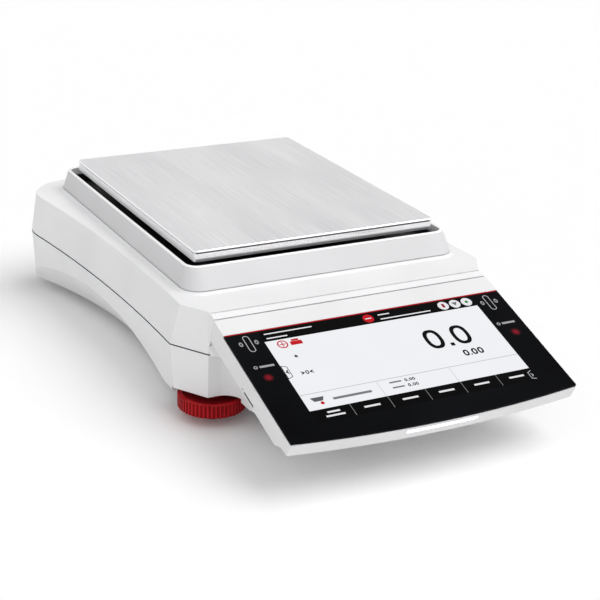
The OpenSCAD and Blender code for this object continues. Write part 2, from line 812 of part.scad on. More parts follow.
// Beam between the load receiver and the coil, with a flag for the position sensor
module lever() {
    tip_y = fulcrum_y - short_arm;
    end_y = coil_y + coil_r + 4;
    color(alloy) difference() {
        union() {
            translate([-lever_w / 2, tip_y, lever_z]) cube([lever_w, coil_y - coil_r - 3 - tip_y, lever_h]);
            translate([-3, coil_y - coil_r - 4, lever_z + 1])
                cube([6, end_y - coil_y + coil_r + 4, lever_h - 2]);
            translate([0, coil_y, lever_z + 1]) cylinder(r = coil_r + 1.5, h = 2);
            translate([-0.5, end_y - 1, lever_z + 2]) cube([1, 7, 3]);
        }
        translate([0, fulcrum_y, lever_z + lever_h / 2]) rotate([0, 90, 0])
            cylinder(r = pin_r + pin_clear, h = 40, center = true);
        for (y = [fulcrum_y + 8 : 9 : coil_y - coil_r - 8])
            translate([0, y, lever_z - over]) cylinder(r = 2.6, h = 20);
    }
}

module coil() {
    color("#b5652a") translate([0, coil_y, lever_z - 11]) difference() {
        cylinder(r = coil_r + 1.2, h = 12);
        translate([0, 0, -over]) cylinder(r = coil_r - 1.2, h = 20);
    }
}

magnet_top_z = lever_z - 3.5;
module magnet_pot() {
    color("#8a8c90") translate([0, coil_y, cell_plate_z]) difference() {
        cylinder(r = coil_r + 1.2 + coil_play + 3.2, h = magnet_top_z - cell_plate_z);
        translate([0, 0, 3]) cylinder(r = coil_r + 1.2 + coil_play, h = magnet_top_z - cell_plate_z);
    }
}

module magnet_core() {
    core_r = coil_r - 1.2 - coil_play;
    color("#6f7176") translate([0, coil_y, cell_plate_z + 3]) {
        cylinder(r = core_r - 0.8, h = magnet_top_z - cell_plate_z - 7);
        translate([0, 0, magnet_top_z - cell_plate_z - 7]) cylinder(r = core_r, h = 4);
    }
}

// Forked light gate on a stand behind the lever's flag
module position_sensor() {
    flag_y = coil_y + coil_r + 4;
    color(green) translate([-8, flag_y + 7, cell_plate_z]) cube([16, 3, lever_z + lever_h + 2 - cell_plate_z]);
    color(black) for (s = [-1, 1])
        translate([s * 4 - 2, flag_y + 1, lever_z - 1]) cube([4, 6.5, lever_h + 2]);
}

// Board with the rear sockets, the converter and the tilt sensor
module main_board() {
    color(green) difference() {
        translate([0, 0, board_z]) linear_extrude(board_t)
            polygon([[-board_left, board_rear_y - socket_row], [board_inner, board_rear_y - socket_row],
            [board_inner, board_front_y], [board_right, board_front_y],
            [board_right, board_rear_y], [-board_left, board_rear_y]]);
        for (p = board_posts)
            translate([p[0], p[1], 0]) cylinder(r = 1.5, h = 60);
    }
    color(black) for (c = [[62, 118, 14, 14, 2], [62, 138, 10, 16, 1.8], [62, 156, 12, 8, 3],
        [73, 126, 5, 7, 1.5]])
        translate([c[0] - c[2] / 2, c[1] - c[3] / 2, board_top - 0.1]) cube([c[2], c[3], c[4] + 0.1]);
    color("#d9d6c8") translate([cable_x - 2, 89, board_top - 0.1]) cube([cable_w + 4, 5, 4.1]);
}

module board_screws() {
    color(steel) for (p = board_posts)
        translate([p[0], p[1], board_top]) cap_screw(board_screw_r, small_head_r, small_head_h, 7);
}

module dc_jack() {
    color(black) translate([dc_x, port_y, board_top]) difference() {
        translate([-4.5, -14, 0]) cube([9, 14, 11]);
        translate([0, over, 6]) rotate([90, 0, 0]) cylinder(r = 3.1, h = 10);
    }
    color(steel) translate([dc_x, port_y - 1, board_top + 6]) rotate([90, 0, 0]) cylinder(r = 1, h = 9);
}

// Nine-way serial socket with a D-shaped shell
module serial_port() {
    color(steel) translate([serial_x, serial_y, board_top]) difference() {
        union() {
            translate([-15.5, -1.6, 0]) cube([31, 1.2, 12.5]);
            translate([0, 0, 6.25]) rotate([90, 0, 0]) linear_extrude(14)
                polygon([[-9, 4], [9, 4], [7.5, -4], [-7.5, -4]]);
            translate([-15.5, -14, 0]) cube([31, 8, 9]);
        }
        both_sides() translate([jack_x, over, 6.25]) rotate([90, 0, 0]) cylinder(r = 1.5, h = 30);
        for (i = [-2 : 2])
            translate([i * 2.76, over, 7.6]) rotate([90, 0, 0]) cylinder(r = 0.6, h = 6, $fn = 16);
        for (i = [-1.5 : 1.5])
            translate([i * 2.76, over, 4.8]) rotate([90, 0, 0]) cylinder(r = 0.6, h = 6, $fn = 16);
    }
}

module serial_jacks() {
    color(steel) for (s = [-1, 1])
        translate([serial_x + s * jack_x, serial_y - 0.4, board_top + 6.25]) difference() {
            union() {
                rotate([-90, 0, 0]) cylinder(r = 2.8, h = 4.5, $fn = 6);
                rotate([90, 0, 0]) cylinder(r = 1.45, h = 8);
            }
            translate([0, 5, 0]) rotate([90, 0, 0]) cylinder(r = 1.2, h = 7.5);
        }
}

module usb_host_port() {
    color(steel) translate([host_x, port_y, board_top]) difference() {
        translate([-7.25, -14, 0]) cube([14.5, 14, 7]);
        translate([-6.25, -10, 1]) cube([12.5, 20, 5]);
    }
    color("#f0f0ee") translate([host_x - 5.5, port_y - 11, board_top + 3.7]) cube([11, 10, 1.6]);
}

module usb_device_port() {
    color(steel) translate([device_x, port_y, board_top]) difference() {
        translate([-6, -16, 0]) cube([12, 16, 11]);
        translate([-4.2, -9, 1.6]) cube([8.4, 20, 7.8]);
    }
    color("#f0f0ee") translate([device_x - 2.8, port_y - 10, board_top + 4]) cube([5.6, 9, 3.2]);
}

// Flat cable from the terminal's board over the cell's side to the main board
cable_route = [[-111.5, 56.4], [-102, 57.6], [-74, 63.6], [-34, 52], [56, 40], [84, 32], [91.5, 26.5]];
module ribbon_cable() {
    cable_t = 0.7;
    last = len(cable_route) - 1;
    color("#c9cbd0") translate([cable_x + cable_w / 2, 0, 0]) across(cable_w)
        polygon(concat(cable_route, [for (i = [0 : last]) cable_route[last - i] + [0, cable_t]]));
}

// White tub of the terminal, with the bowed lip in front
module terminal_shell() {
    color(white) slope() difference() {
        intersection() {
            across(terminal_w) terminal_profile();
            translate([0, bow_cy, -40]) cylinder(r1 = bow_r - 40 * lip_lean, r2 = bow_r, h = 40, $fn = fine);
        }
        both_sides() translate([terminal_w / 2, 0, -terminal_t]) rotate([0, 45, 0])
            cube([foot_chamfer * sqrt(2), 2 * casing_reach, foot_chamfer * sqrt(2)], center = true);
        translate([-casing_reach, -casing_reach, -glass_t])
            cube([2 * casing_reach, casing_reach - glass_start, 20]);
        difference() {
            intersection() {
                across(terminal_w - 2 * shell_wall) polygon([[-9.5, -shell_wall], [-9.5, -24], [-11, -23.6],
                    [-15.5, -18.2], [-20.5, -slope_floor], [1 - rise_y, -slope_floor], [-rise_y - 4, -13],
                    [-rise_y - 11.5, -8.5],
                    [-casing_reach, -7.5], [-casing_reach, 1], [-23.5, 1], [-23.5, -shell_wall]]);
                translate([0, bow_cy, -40])
                    cylinder(r1 = bow_r - 3 - 40 * lip_lean, r2 = bow_r - 3, h = 42, $fn = fine);
            }
            for (p = tray_posts)
                translate([p[0], p[1], -20]) cylinder(r = 3.4, h = 20 - frame_top - panel_frame_t);
            for (p = board_stand)
                translate([p[0], p[1], -20]) cylinder(r = 3.2, h = 20 + board_w0);
            for (p = terminal_bolts)
                translate([p[0], p[1], -20]) cylinder(r = 3.6, h = 20 + board_w0 - 0.6);
        }
        for (p = tray_posts)
            translate([p[0], p[1], -frame_top - panel_frame_t - 5.5]) cylinder(r = board_screw_r + 0.05, h = 6);
        for (p = board_stand)
            translate([p[0], p[1], board_w0 - 5.5]) cylinder(r = board_screw_r + 0.05, h = 6);
        for (p = terminal_bolts)
            translate([p[0], p[1], -20]) cylinder(r = 1.55, h = 6.6);
        translate([cable_x - 2, -12, -15]) cube([cable_w + 4, 8, 5]);
        for (x = [-1, 1])
            translate([x * (light_len - light_t) / 2, 12 - terminal_len, light_w]) rotate([90, 0, 0])
                cylinder(r = light_t / 2, h = 30);
        translate([-(light_len - light_t) / 2, -18 - terminal_len, light_w - light_t / 2])
            cube([light_len - light_t, 30, light_t]);
        translate([-terminal_w, slot_y - slot_len / 2, slot_w - slot_h / 2])
            cube([terminal_w / 2 + 20, slot_len, slot_h]);
        translate([-terminal_w / 2 - over, slot_y + slot_len / 2 + 2, slot_w + 0.6]) rotate([0, 90, 0])
            cylinder(r = 0.8, h = 10);
    }
}

// Black inner frame that carries the screen and the sensors under the glass
module panel_frame() {
    bed = -frame_top - panel_frame_t;
    color(black) slope() difference() {
        intersection() {
            translate([-terminal_w / 2 + shell_wall + gap, -130, bed])
                cube([terminal_w - 2 * shell_wall - 2 * gap, 118, panel_frame_t]);
            translate([0, bow_cy, -40])
                cylinder(r1 = bow_r - 3.5 - 40 * lip_lean, r2 = bow_r - 3.5, h = 42, $fn = fine);
        }
        translate([-panel_w / 2 - gap, -panel_far - gap, bed - over])
            cube([panel_w + 2 * gap, panel_far - panel_near + 2 * gap, 20]);
        both_sides() translate([sensor_x - 3.8, sensor_y - 4.8, bed - over]) cube([7.6, 9.6, 20]);
        translate([-light_len / 2 - gap, -130, bed - over])
            cube([light_len + 2 * gap, 130 - terminal_len - front_bow + light_depth + gap, 20]);
        for (p = tray_posts)
            translate([p[0], p[1], bed - over]) {
                cylinder(r = 1.5, h = 20);
                translate([0, 0, over + panel_frame_t - 2]) cylinder(r = 2.7, h = 10);
            }
    }
}

module frame_screws() {
    bed = -frame_top - panel_frame_t;
    color(steel) slope() {
        for (p = tray_posts)
            translate([p[0], p[1], bed + panel_frame_t - 2])
                cap_screw(board_screw_r, small_head_r, small_head_h, 7);
        for (p = board_stand)
            translate([p[0], p[1], board_w0 + board_t])
                cap_screw(board_screw_r, small_head_r, small_head_h, 6.6);
    }
}

module cover_glass() {
    color(black) slope() intersection() {
        translate([-glass_w / 2, -terminal_len - front_bow - 5, -glass_t])
            cube([glass_w, terminal_len + front_bow + 5 - glass_start - 0.1, glass_t]);
        translate([0, bow_cy, -10])
            cylinder(r1 = bow_r - 0.4 - 10 * lip_lean, r2 = bow_r - 0.4, h = 10, $fn = fine);
    }
}

module display_panel() {
    color("#f1f2f5") slope()
        translate([-panel_w / 2, -panel_far, -panel_bed]) cube([panel_w, panel_far - panel_near, panel_t]);
}

module terminal_board() {
    color(green) slope() difference() {
        translate([-terminal_board_w / 2, -board_far, board_w0])
            cube([terminal_board_w, board_far - board_near, board_t]);
        for (p = board_stand)
            translate([p[0], p[1], board_w0 - over]) cylinder(r = 1.5, h = board_t + 2 * over);
    }
    color(black) slope() for (c = [[-20, -60, 14, 14, 1.6], [18, -52, 10, 12, 1.4], [40, -70, 8, 8, 1.4]])
        translate([c[0] - c[2] / 2, c[1] - c[3] / 2, board_w0 + board_t - 0.1]) cube([c[2], c[3], c[4] + 0.1]);
    color("#d9d6c8") slope() translate([cable_x - 2, -38, board_w0 + board_t - 0.1])
        cube([cable_w + 4, 6, 2.1]);
}

// Clear bar of the status light, its face follows the lip
module light_bar() {
    play = 0.1;
    half = (light_len - light_t) / 2;
    inner_y = -terminal_len - front_bow + light_depth;
    color("#fbfbff") slope() intersection() {
        union() {
            for (x = [-1, 1])
                translate([x * half, inner_y, light_w]) rotate([90, 0, 0])
                    cylinder(r = light_t / 2 - play, h = 30);
            translate([-half, inner_y - 30, light_w - light_t / 2 + play])
                cube([2 * half, 30, light_t - 2 * play]);
        }
        translate([0, bow_cy, -40]) cylinder(r1 = bow_r - 40 * lip_lean, r2 = bow_r, h = 40, $fn = fine);
    }
}

module ir_sensors() {
    bed = -frame_top - panel_frame_t;
    color("#2a1114") slope() both_sides() translate([sensor_x, sensor_y, bed]) {
        translate([-3.5, -4.5, 0]) cube([7, 9, panel_frame_t]);
        translate([0, 0, panel_frame_t]) cylinder(r = 2.5, h = frame_top - glass_t - 0.1);
    }
}

module card_slot() {
    color(steel) slope() translate([-terminal_w / 2 + shell_wall, slot_y, -slope_floor]) difference() {
        translate([0.1, -slot_len / 2 - 1.3, 0]) cube([15, slot_len + 2.6, 3.6]);
        translate([-over, -slot_len / 2, slot_w + slope_floor - slot_h / 2]) cube([13, slot_len, slot_h]);
    }
}

module terminal_screws() {
    color(steel) slope() for (p = terminal_bolts)
        translate([p[0], p[1], -terminal_t - base_wall]) mirror([0, 0, 1]) cap_screw(1.5, 3, 2.4, 7);
}

module housing_screws() {
    color(steel) both_sides() for (p = casing_screws)
        translate([p[0], p[1], casing_seat_z]) mirror([0, 0, 1])
            cap_screw(casing_screw_r, casing_head_r, 3, 22);
}

module well_screws() {
    color(steel) for (p = well_bolts)
        translate([p[0], p[1], well_z]) cap_screw(1.5, 2.8, 2, 6);
}

// Turning cover over the hook opening in the belly
module weigh_below_cover() {
    color(grey) difference() {
        union() {
            translate([0, pan_y, cover_z]) cylinder(r = cover_hole_r + 4, h = cover_t);
            translate([cover_pivot_x, pan_y, cover_z]) cylinder(r = 6, h = cover_t);
            translate([0, pan_y - 6, cover_z]) cube([cover_pivot_x, 12, cover_t]);
        }
        translate([cover_pivot_x, pan_y, 0]) cylinder(r = 2.06, h = 20);
    }
}

module cover_screw() {
    color(steel) translate([cover_pivot_x, pan_y, cover_z - gap]) mirror([0, 0, 1]) cap_screw(2, 3.8, 1.6, 7);
}

base_housing();
top_housing();
pan_frame();
weigh_well();
pan();
pan_support();
support_pads();
left_wheel();
right_wheel();
left_stud();
right_stud();
left_pad();
right_pad();
foot_bushes();
rear_feet();
cell_frame();
cell_screws();
upper_guide();
lower_guide();
guide_screws();
load_receiver();
load_post();
fulcrum_pin();
lever();
coil();
magnet_pot();
magnet_core();
position_sensor();
main_board();
board_screws();
dc_jack();
serial_port();
serial_jacks();
usb_host_port();
usb_device_port();
ribbon_cable();
terminal_shell();
panel_frame();
frame_screws();
cover_glass();
display_panel();
terminal_board();
light_bar();
ir_sensors();
card_slot();
terminal_screws();
housing_screws();
well_screws();
weigh_below_cover();
cover_screw();
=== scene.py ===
import json
import math

import bmesh
import bpy
from mathutils import Matrix, Vector

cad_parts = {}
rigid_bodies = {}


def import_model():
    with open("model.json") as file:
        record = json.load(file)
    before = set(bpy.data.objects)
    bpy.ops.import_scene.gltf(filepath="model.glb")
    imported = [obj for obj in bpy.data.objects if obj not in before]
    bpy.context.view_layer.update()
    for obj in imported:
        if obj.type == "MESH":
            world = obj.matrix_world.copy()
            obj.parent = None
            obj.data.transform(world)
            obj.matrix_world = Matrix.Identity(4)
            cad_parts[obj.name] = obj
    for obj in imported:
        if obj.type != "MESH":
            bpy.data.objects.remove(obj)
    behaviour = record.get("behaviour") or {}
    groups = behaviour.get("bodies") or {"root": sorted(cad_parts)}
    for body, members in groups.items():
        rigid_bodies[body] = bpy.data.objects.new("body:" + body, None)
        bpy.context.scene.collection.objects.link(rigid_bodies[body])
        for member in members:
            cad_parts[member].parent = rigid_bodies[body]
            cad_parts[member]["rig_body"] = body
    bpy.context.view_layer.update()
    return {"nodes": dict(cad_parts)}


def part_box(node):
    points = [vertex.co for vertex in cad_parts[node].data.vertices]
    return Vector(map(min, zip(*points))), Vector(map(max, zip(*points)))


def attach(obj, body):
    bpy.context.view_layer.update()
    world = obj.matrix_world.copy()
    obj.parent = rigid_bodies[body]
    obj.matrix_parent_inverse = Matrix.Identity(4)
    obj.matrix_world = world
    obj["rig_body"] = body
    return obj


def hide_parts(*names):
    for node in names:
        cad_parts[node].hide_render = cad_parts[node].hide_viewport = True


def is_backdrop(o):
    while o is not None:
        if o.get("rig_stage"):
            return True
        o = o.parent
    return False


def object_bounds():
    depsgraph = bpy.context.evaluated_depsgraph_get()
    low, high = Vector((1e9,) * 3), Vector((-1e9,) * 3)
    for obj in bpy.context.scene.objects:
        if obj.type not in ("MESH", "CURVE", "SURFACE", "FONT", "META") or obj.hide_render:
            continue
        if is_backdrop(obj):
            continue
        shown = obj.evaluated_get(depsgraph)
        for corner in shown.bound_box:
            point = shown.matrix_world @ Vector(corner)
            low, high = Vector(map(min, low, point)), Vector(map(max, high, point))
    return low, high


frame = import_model()

# Base of the casing: one die casting with the belly, the waisted side walls, the scooped
# hand-holds and the nose under the terminal. It is blasted and powder coated light grey,
# and its edges carry the small radius that the coat leaves.
MM = 0.001
nodes = frame["nodes"]


def srgb(code):
    """Linear red, green, blue and alpha of an sRGB hex colour."""
    parts = [int(code[i:i + 2], 16) / 255 for i in (1, 3, 5)]
    return [p / 12.92 if p <= 0.04045 else ((p + 0.055) / 1.055) ** 2.4 for p in parts] + [1.0]


def feed(tree, node, links):
    """Links a node's inputs to what drives them."""
    for key, source in links.items():
        tree.links.new(source, node.inputs[key])


def add_node(tree, kind, settings=None, links=None):
    """Adds a shader node, sets its sockets or properties and links its inputs. Sockets that share
    a name go by number: a colour Mix has its two colours at 6 and 7 and its result at 2."""
    node = tree.nodes.new("ShaderNode" + kind)
    for key, value in (settings or {}).items():
        if isinstance(key, int) or key in node.inputs:
            node.inputs[key].default_value = value
        else:
            setattr(node, key, value)
    feed(tree, node, links or {})
    return node


def new_finish(name, **sockets):
    """A material with its shader's uniform values set; returns it, its tree and its shader."""
    finish = bpy.data.materials.new(name)
    finish.use_nodes = True
    shader = finish.node_tree.nodes["Principled BSDF"]
    for key, value in sockets.items():
        shader.inputs[key.replace("_", " ")].default_value = value
    return finish, finish.node_tree, shader


GRAIN_SHARE, GRAIN_GLOSS = 0.35, 0.05


def grained(name, pale, deep, grain_mm, cloud_mm, depth_mm, rough, **sockets):
    """Moulded or coated skin: fine grain in the relief and the gloss, slow change of tone."""
    finish, tree, shader = new_finish(name, **sockets)
    place = add_node(tree, "TexCoord").outputs["Object"]
    fine = {"Scale": 1 / (grain_mm * MM), "Detail": 3.0, "Roughness": 0.6}
    grain = add_node(tree, "TexNoise", fine, {"Vector": place}).outputs[0]
    slow = {"Scale": 1 / (cloud_mm * MM), "Detail": 1.0}
    cloud = add_node(tree, "TexNoise", slow, {"Vector": place}).outputs[0]
    blend = {"operation": "MULTIPLY_ADD", 1: GRAIN_SHARE}
    mixed = add_node(tree, "Math", blend, {0: grain, 2: cloud}).outputs[0]
    share = add_node(tree, "MapRange", {"From Min": 0.45, "From Max": 0.9}, {"Value": mixed}).outputs[0]
    tone = add_node(tree, "Mix", {"data_type": "RGBA", 6: srgb(deep), 7: srgb(pale)}, {0: share})
    span = {"From Min": 0.3, "From Max": 0.7,
            "To Min": rough - GRAIN_GLOSS, "To Max": rough + GRAIN_GLOSS}
    gloss = add_node(tree, "MapRange", span, {"Value": grain})
    relief = add_node(tree, "Bump", {"Strength": 0.5, "Distance": depth_mm * MM}, {"Height": grain})
    feed(tree, shader, {"Base Color": tone.outputs[2], "Roughness": gloss.outputs[0],
                        "Normal": relief.outputs[0]})
    return finish


WELD = 0.002 * MM
SAME_PLANE = 0.01 * MM
FLAT, SHARP, CREASE = math.radians(0.2), math.radians(28), math.radians(32)
RIM_STEPS, EDGE_STEPS = 4, 2


def soften(node, finish, radius_mm, rim_mm=None):
    """A finished copy of a CAD node with its sharp edges rounded, which stands for the node.
    The edges of its top plane may have a radius of their own, rim_mm."""
    work = bmesh.new()
    work.from_mesh(nodes[node].data)
    bmesh.ops.remove_doubles(work, verts=work.verts, dist=WELD)
    bmesh.ops.dissolve_limit(work, angle_limit=FLAT, verts=work.verts, edges=work.edges)
    top_plane = max(vertex.co.z for vertex in work.verts) - SAME_PLANE
    for radius, steps, lowest in ((rim_mm, RIM_STEPS, top_plane), (radius_mm, EDGE_STEPS, -math.inf)):
        if radius is None:
            continue
        edges = [e for e in work.edges if len(e.link_faces) == 2 and e.calc_face_angle(0) > SHARP
                 and min(vertex.co.z for vertex in e.verts) >= lowest]
        bmesh.ops.bevel(work, geom=edges, offset=radius * MM, offset_type="OFFSET", segments=steps,
                        profile=0.5, affect="EDGES", clamp_overlap=True)
    bmesh.ops.dissolve_degenerate(work, dist=WELD, edges=work.edges)
    for face in work.faces:
        face.smooth = True
    mesh = bpy.data.meshes.new(node + "_finished")
    work.to_mesh(mesh)
    work.free()
    mesh.attributes.remove(mesh.attributes["custom_normal"])
    mesh.set_sharp_from_angle(angle=CREASE)
    mesh.materials.append(finish)
    piece = bpy.data.objects.new(node + "_finished", mesh)
    bpy.context.scene.collection.objects.link(piece)
    even = piece.modifiers.new("even shading", "WEIGHTED_NORMAL")
    even.keep_sharp = True
    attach(piece, nodes[node]["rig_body"])
    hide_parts(node)
    return piece


# Powder coat, satin polyester: broad soft highlights and a faint orange peel, whose 0.3 mm
# cells are drawn at 0.9 mm so that they show.
powder_coat = grained("powder_coat", "#eeeeef", "#e6e6e7", grain_mm=0.9, cloud_mm=60, depth_mm=0.02,
                      rough=0.45)
base = soften("base_housing", powder_coat, radius_mm=0.5)
# The face that the top stands on, in the joint groove, is painted dark grey as painted
# shade, which shows as a dull dark line along the joint.
PARTING, NEAR, FACING_UP = 46.5, 0.05, 0.9
painted_joint_shade = grained("painted_joint_shade", "#545456", "#48484a", grain_mm=0.9, cloud_mm=30, depth_mm=0.01,
                      rough=0.6)
base.data.materials.append(painted_joint_shade)
# The face at the parting plane takes the painted shade.
for face in base.data.polygons:
    if face.normal.z > FACING_UP and abs(face.center.z / MM - PARTING) < NEAR:
        face.material_index = 1

# Hook cover: a small cast plate under the belly that turns on one screw and closes the
# opening for a hook. It has the same coat as the base.
soften("weigh_below_cover", powder_coat, radius_mm=0.3)

# Hand wheels of the levelling feet: red ABS mouldings, pressed on to the studs, with ridges
# for the fingers all round and a sunk face on top.
SUNK, UPRIGHT, OUTWARD = 0.8, 0.5, 0.85
# Moulded red ABS: a deep red with a satin skin, its 0.2 mm grain drawn at 0.6 mm so that it
# shows; the ridges are in the mesh.
red_abs = grained("moulded_red_abs", "#b8161d", "#a21118", grain_mm=0.6, cloud_mm=12, depth_mm=0.01,
                  rough=0.4, Specular_IOR_Level=0.15)
# The grooves between the ridges and the sunk face on top are painted a darker red as
# painted shade, with a matt skin.
painted_shade_red_abs = grained("painted_shade_red_abs", "#860f15", "#740b11", grain_mm=0.6, cloud_mm=12, depth_mm=0.01,
                       rough=0.6, Specular_IOR_Level=0.1)
for name in ("left_wheel", "right_wheel"):
    wheel = soften(name, red_abs, radius_mm=0.2)
    wheel.data.materials.append(painted_shade_red_abs)
    low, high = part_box(name)
    # Faces in the grooves and the sunk top face take the painted shade.
    for face in wheel.data.polygons:
        outward = ((face.center - (low + high) / 2) * Vector((1, 1, 0))).normalized()
        in_groove = abs(face.normal.z) < UPRIGHT and face.normal.dot(outward) < OUTWARD
        is_sunk = face.normal.z > FACING_UP and face.center.z < high.z - SUNK / 2 * MM
        if in_groove or is_sunk:
            face.material_index = 1

# Studs, screws and pins: the threaded studs of the feet, every screw, the load post, the
# fulcrum's pin and the jack screws of the rear socket. They are steel, turned and zinc plated.
LINE_RUN, LINE_GLOSS = 120, 0.08


def turned(name, pale, deep, line_mm, rough, axes):
    """Machined or brushed metal: fine lines that run along the named axes."""
    finish, tree, shader = new_finish(name, Metallic=1.0)
    place = add_node(tree, "TexCoord").outputs["Object"]
    stretch = [1 / (line_mm * MM)] * 3
    for axis in axes:
        stretch["xyz".index(axis)] = 1 / (line_mm * LINE_RUN * MM)
    lined = add_node(tree, "Mapping", {"Scale": stretch}, {"Vector": place}).outputs[0]
    fine = {"Scale": 1.0, "Detail": 3.0, "Roughness": 0.65}
    lines = add_node(tree, "TexNoise", fine, {"Vector": lined}).outputs[0]
    tone = add_node(tree, "Mix", {"data_type": "RGBA", 6: srgb(deep), 7: srgb(pale)}, {0: lines})
    span = {"From Min": 0.3, "From Max": 0.7,
            "To Min": rough - LINE_GLOSS, "To Max": rough + LINE_GLOSS}
    gloss = add_node(tree, "MapRange", span, {"Value": lines})
    relief = add_node(tree, "Bump", {"Strength": 0.25, "Distance": 0.01 * MM}, {"Height": lines})
    feed(tree, shader, {"Base Color": tone.outputs[2], "Roughness": gloss.outputs[0],
                        "Normal": relief.outputs[0]})
    return finish


def dress(finish, *names):
    """Gives CAD nodes their finish."""
    for name in names:
        nodes[name].material_slots[0].material = finish


# Zinc plated steel: a cool light grey with a soft gloss, its lines drawn 0.4 mm wide.
zinc_steel = turned("zinc_plated_steel", "#c3c5c8", "#a5a8ac", line_mm=0.4, rough=0.32, axes="z")
dress(zinc_steel, "left_stud", "right_stud", "cell_screws", "guide_screws", "board_screws",
      "frame_screws", "terminal_screws", "housing_screws", "well_screws", "cover_screw", "load_post",
      "fulcrum_pin", "serial_jacks")

# Bushes of the levelling feet: turned from brass and pressed into the base; the studs screw
# through them.
LATHE_LINE = 0.3
# Turned brass: a warm yellow with a bright gloss, its finer lathe lines drawn 0.3 mm wide.
turned_brass = turned("turned_brass", "#c2a05a", "#a9853f", line_mm=LATHE_LINE, rough=0.3, axes="z")
dress(turned_brass, "foot_bushes")

# Pads and rear feet: black rubber mouldings under the studs and the rear legs, and the four
# pads on the carrier that the pan lies on. They are pushed into their seats.
PAD_RADIUS = 0.4
# Moulded black rubber: dull and slightly dusty, its fine grain drawn at 0.5 mm so that it shows.
foot_rubber = grained("black_rubber", "#2a2a2d", "#1d1d20", grain_mm=0.5, cloud_mm=8, depth_mm=0.02,
                      rough=0.72)
for name in ("left_pad", "right_pad", "rear_feet", "support_pads"):
    soften(name, foot_rubber, radius_mm=PAD_RADIUS)

# Weighing cell: an aluminium frame with two parallel guides, the load receiver and a lever,
# screwed to the pads on the base's floor. The pan's carrier sits on its load post.
CUTTER_MARK, CARRIER_RADIUS = 0.5, 0.4
# Milled aluminium: pale grey, with cutter marks 0.5 mm wide along its depth.
milled_alloy = turned("milled_aluminium", "#d2d4d7", "#bcbfc4", line_mm=CUTTER_MARK, rough=0.35, axes="y")
dress(milled_alloy, "cell_frame", "upper_guide", "lower_guide", "load_receiver", "lever")
soften("pan_support", milled_alloy, radius_mm=CARRIER_RADIUS)

# Magnet of the cell: an iron pot with a core in its middle, turned and then nickel plated,
# which leaves a ring-shaped gap for the coil.
PLATED_LINE = 0.4
# Nickel plated iron: a darker, smooth grey, its fine tool lines drawn 0.4 mm wide.
plated_iron = turned("nickel_plated_iron", "#9b9da2", "#84868c", line_mm=PLATED_LINE, rough=0.3, axes="x")
dress(plated_iron, "magnet_pot", "magnet_core")

# Coil: enamelled copper wire of 0.35 mm, wound in a ring on the lever's end, which dips into
# the magnet's gap.
WIRE, WAVE_UNIT = 0.35, 20
# Enamelled copper: glossy orange-brown turns. A wave's band is 2 pi times the size given here,
# so that a turn is drawn 2.2 mm wide and shows.
copper_wire, tree, shader = new_finish("enamelled_copper_wire", Metallic=1.0, Roughness=0.3)
place = add_node(tree, "TexCoord").outputs["Object"]
winding = {"Scale": 1 / (WIRE * MM) / WAVE_UNIT, "bands_direction": "Z"}
turns = add_node(tree, "TexWave", winding, {"Vector": place}).outputs[0]
tone = add_node(tree, "Mix", {"data_type": "RGBA", 6: srgb("#8c4a1c"), 7: srgb("#c9743a")}, {0: turns})
relief = add_node(tree, "Bump", {"Strength": 0.6, "Distance": 0.1 * MM}, {"Height": turns})
feed(tree, shader, {"Base Color": tone.outputs[2], "Normal": relief.outputs[0]})
dress(copper_wire, "coil")

# Circuit boards: glass fibre sheets etched with copper tracks, one in the base and one in the
# terminal, each screwed to its stands.
TRACK_GRID = 3.2
# Green solder resist: an even green gloss, with the tracks under it as lighter lines.
board_resist, tree, shader = new_finish("green_solder_resist", Roughness=0.35)
place = add_node(tree, "TexCoord").outputs["Object"]
grid = {"distance": "MANHATTAN", "feature": "DISTANCE_TO_EDGE", "Scale": 1 / (TRACK_GRID * MM)}
tracks = add_node(tree, "TexVoronoi", grid, {"Vector": place}).outputs[0]
line = add_node(tree, "MapRange", {"From Min": 0.05, "From Max": 0.09}, {"Value": tracks}).outputs[0]
tone = add_node(tree, "Mix", {"data_type": "RGBA", 6: srgb("#2f7a50"), 7: srgb("#1d5636")}, {0: line})
feed(tree, shader, {"Base Color": tone.outputs[2]})
dress(board_resist, "main_board", "terminal_board")

# Sockets and inner frames: the power socket, the cell's light gate, the screen's frame, the
# sensors and the card socket are nylon mouldings; the data sockets in the rear wall have
# folded shells of plated steel.
SOCKET_RADIUS = 0.15
# Glass-filled black nylon: near black and half matt, its fine grain drawn at 0.5 mm.
black_nylon = grained("black_nylon", "#1d1d20", "#121214", grain_mm=0.5, cloud_mm=15, depth_mm=0.015,
                      rough=0.5)
dress(black_nylon, "position_sensor", "panel_frame", "ir_sensors", "card_slot")
soften("dc_jack", black_nylon, radius_mm=SOCKET_RADIUS)
for name in ("serial_port", "usb_host_port", "usb_device_port"):
    soften(name, zinc_steel, radius_mm=SOCKET_RADIUS)

# Flat cable: grey vinyl moulded round a row of conductors 1.27 mm apart, from the main board
# through the nose into the terminal.
CORE_PITCH = 1.27
# Grey vinyl: soft, half matt ribs of two greys, drawn 2 pi times as wide so that they show.
cable_vinyl, tree, shader = new_finish("grey_ribbon_vinyl", Roughness=0.5)
place = add_node(tree, "TexCoord").outputs["Object"]
ribs = {"Scale": 1 / (CORE_PITCH * MM) / WAVE_UNIT, "bands_direction": "X"}
cores = add_node(tree, "TexWave", ribs, {"Vector": place}).outputs[0]
tone = add_node(tree, "Mix", {"data_type": "RGBA", 6: srgb("#aeb1b8"), 7: srgb("#cfd2d8")}, {0: cores})
relief = add_node(tree, "Bump", {"Strength": 0.5, "Distance": 0.3 * MM}, {"Height": cores})
feed(tree, shader, {"Base Color": tone.outputs[2], "Normal": relief.outputs[0]})
dress(cable_vinyl, "ribbon_cable")
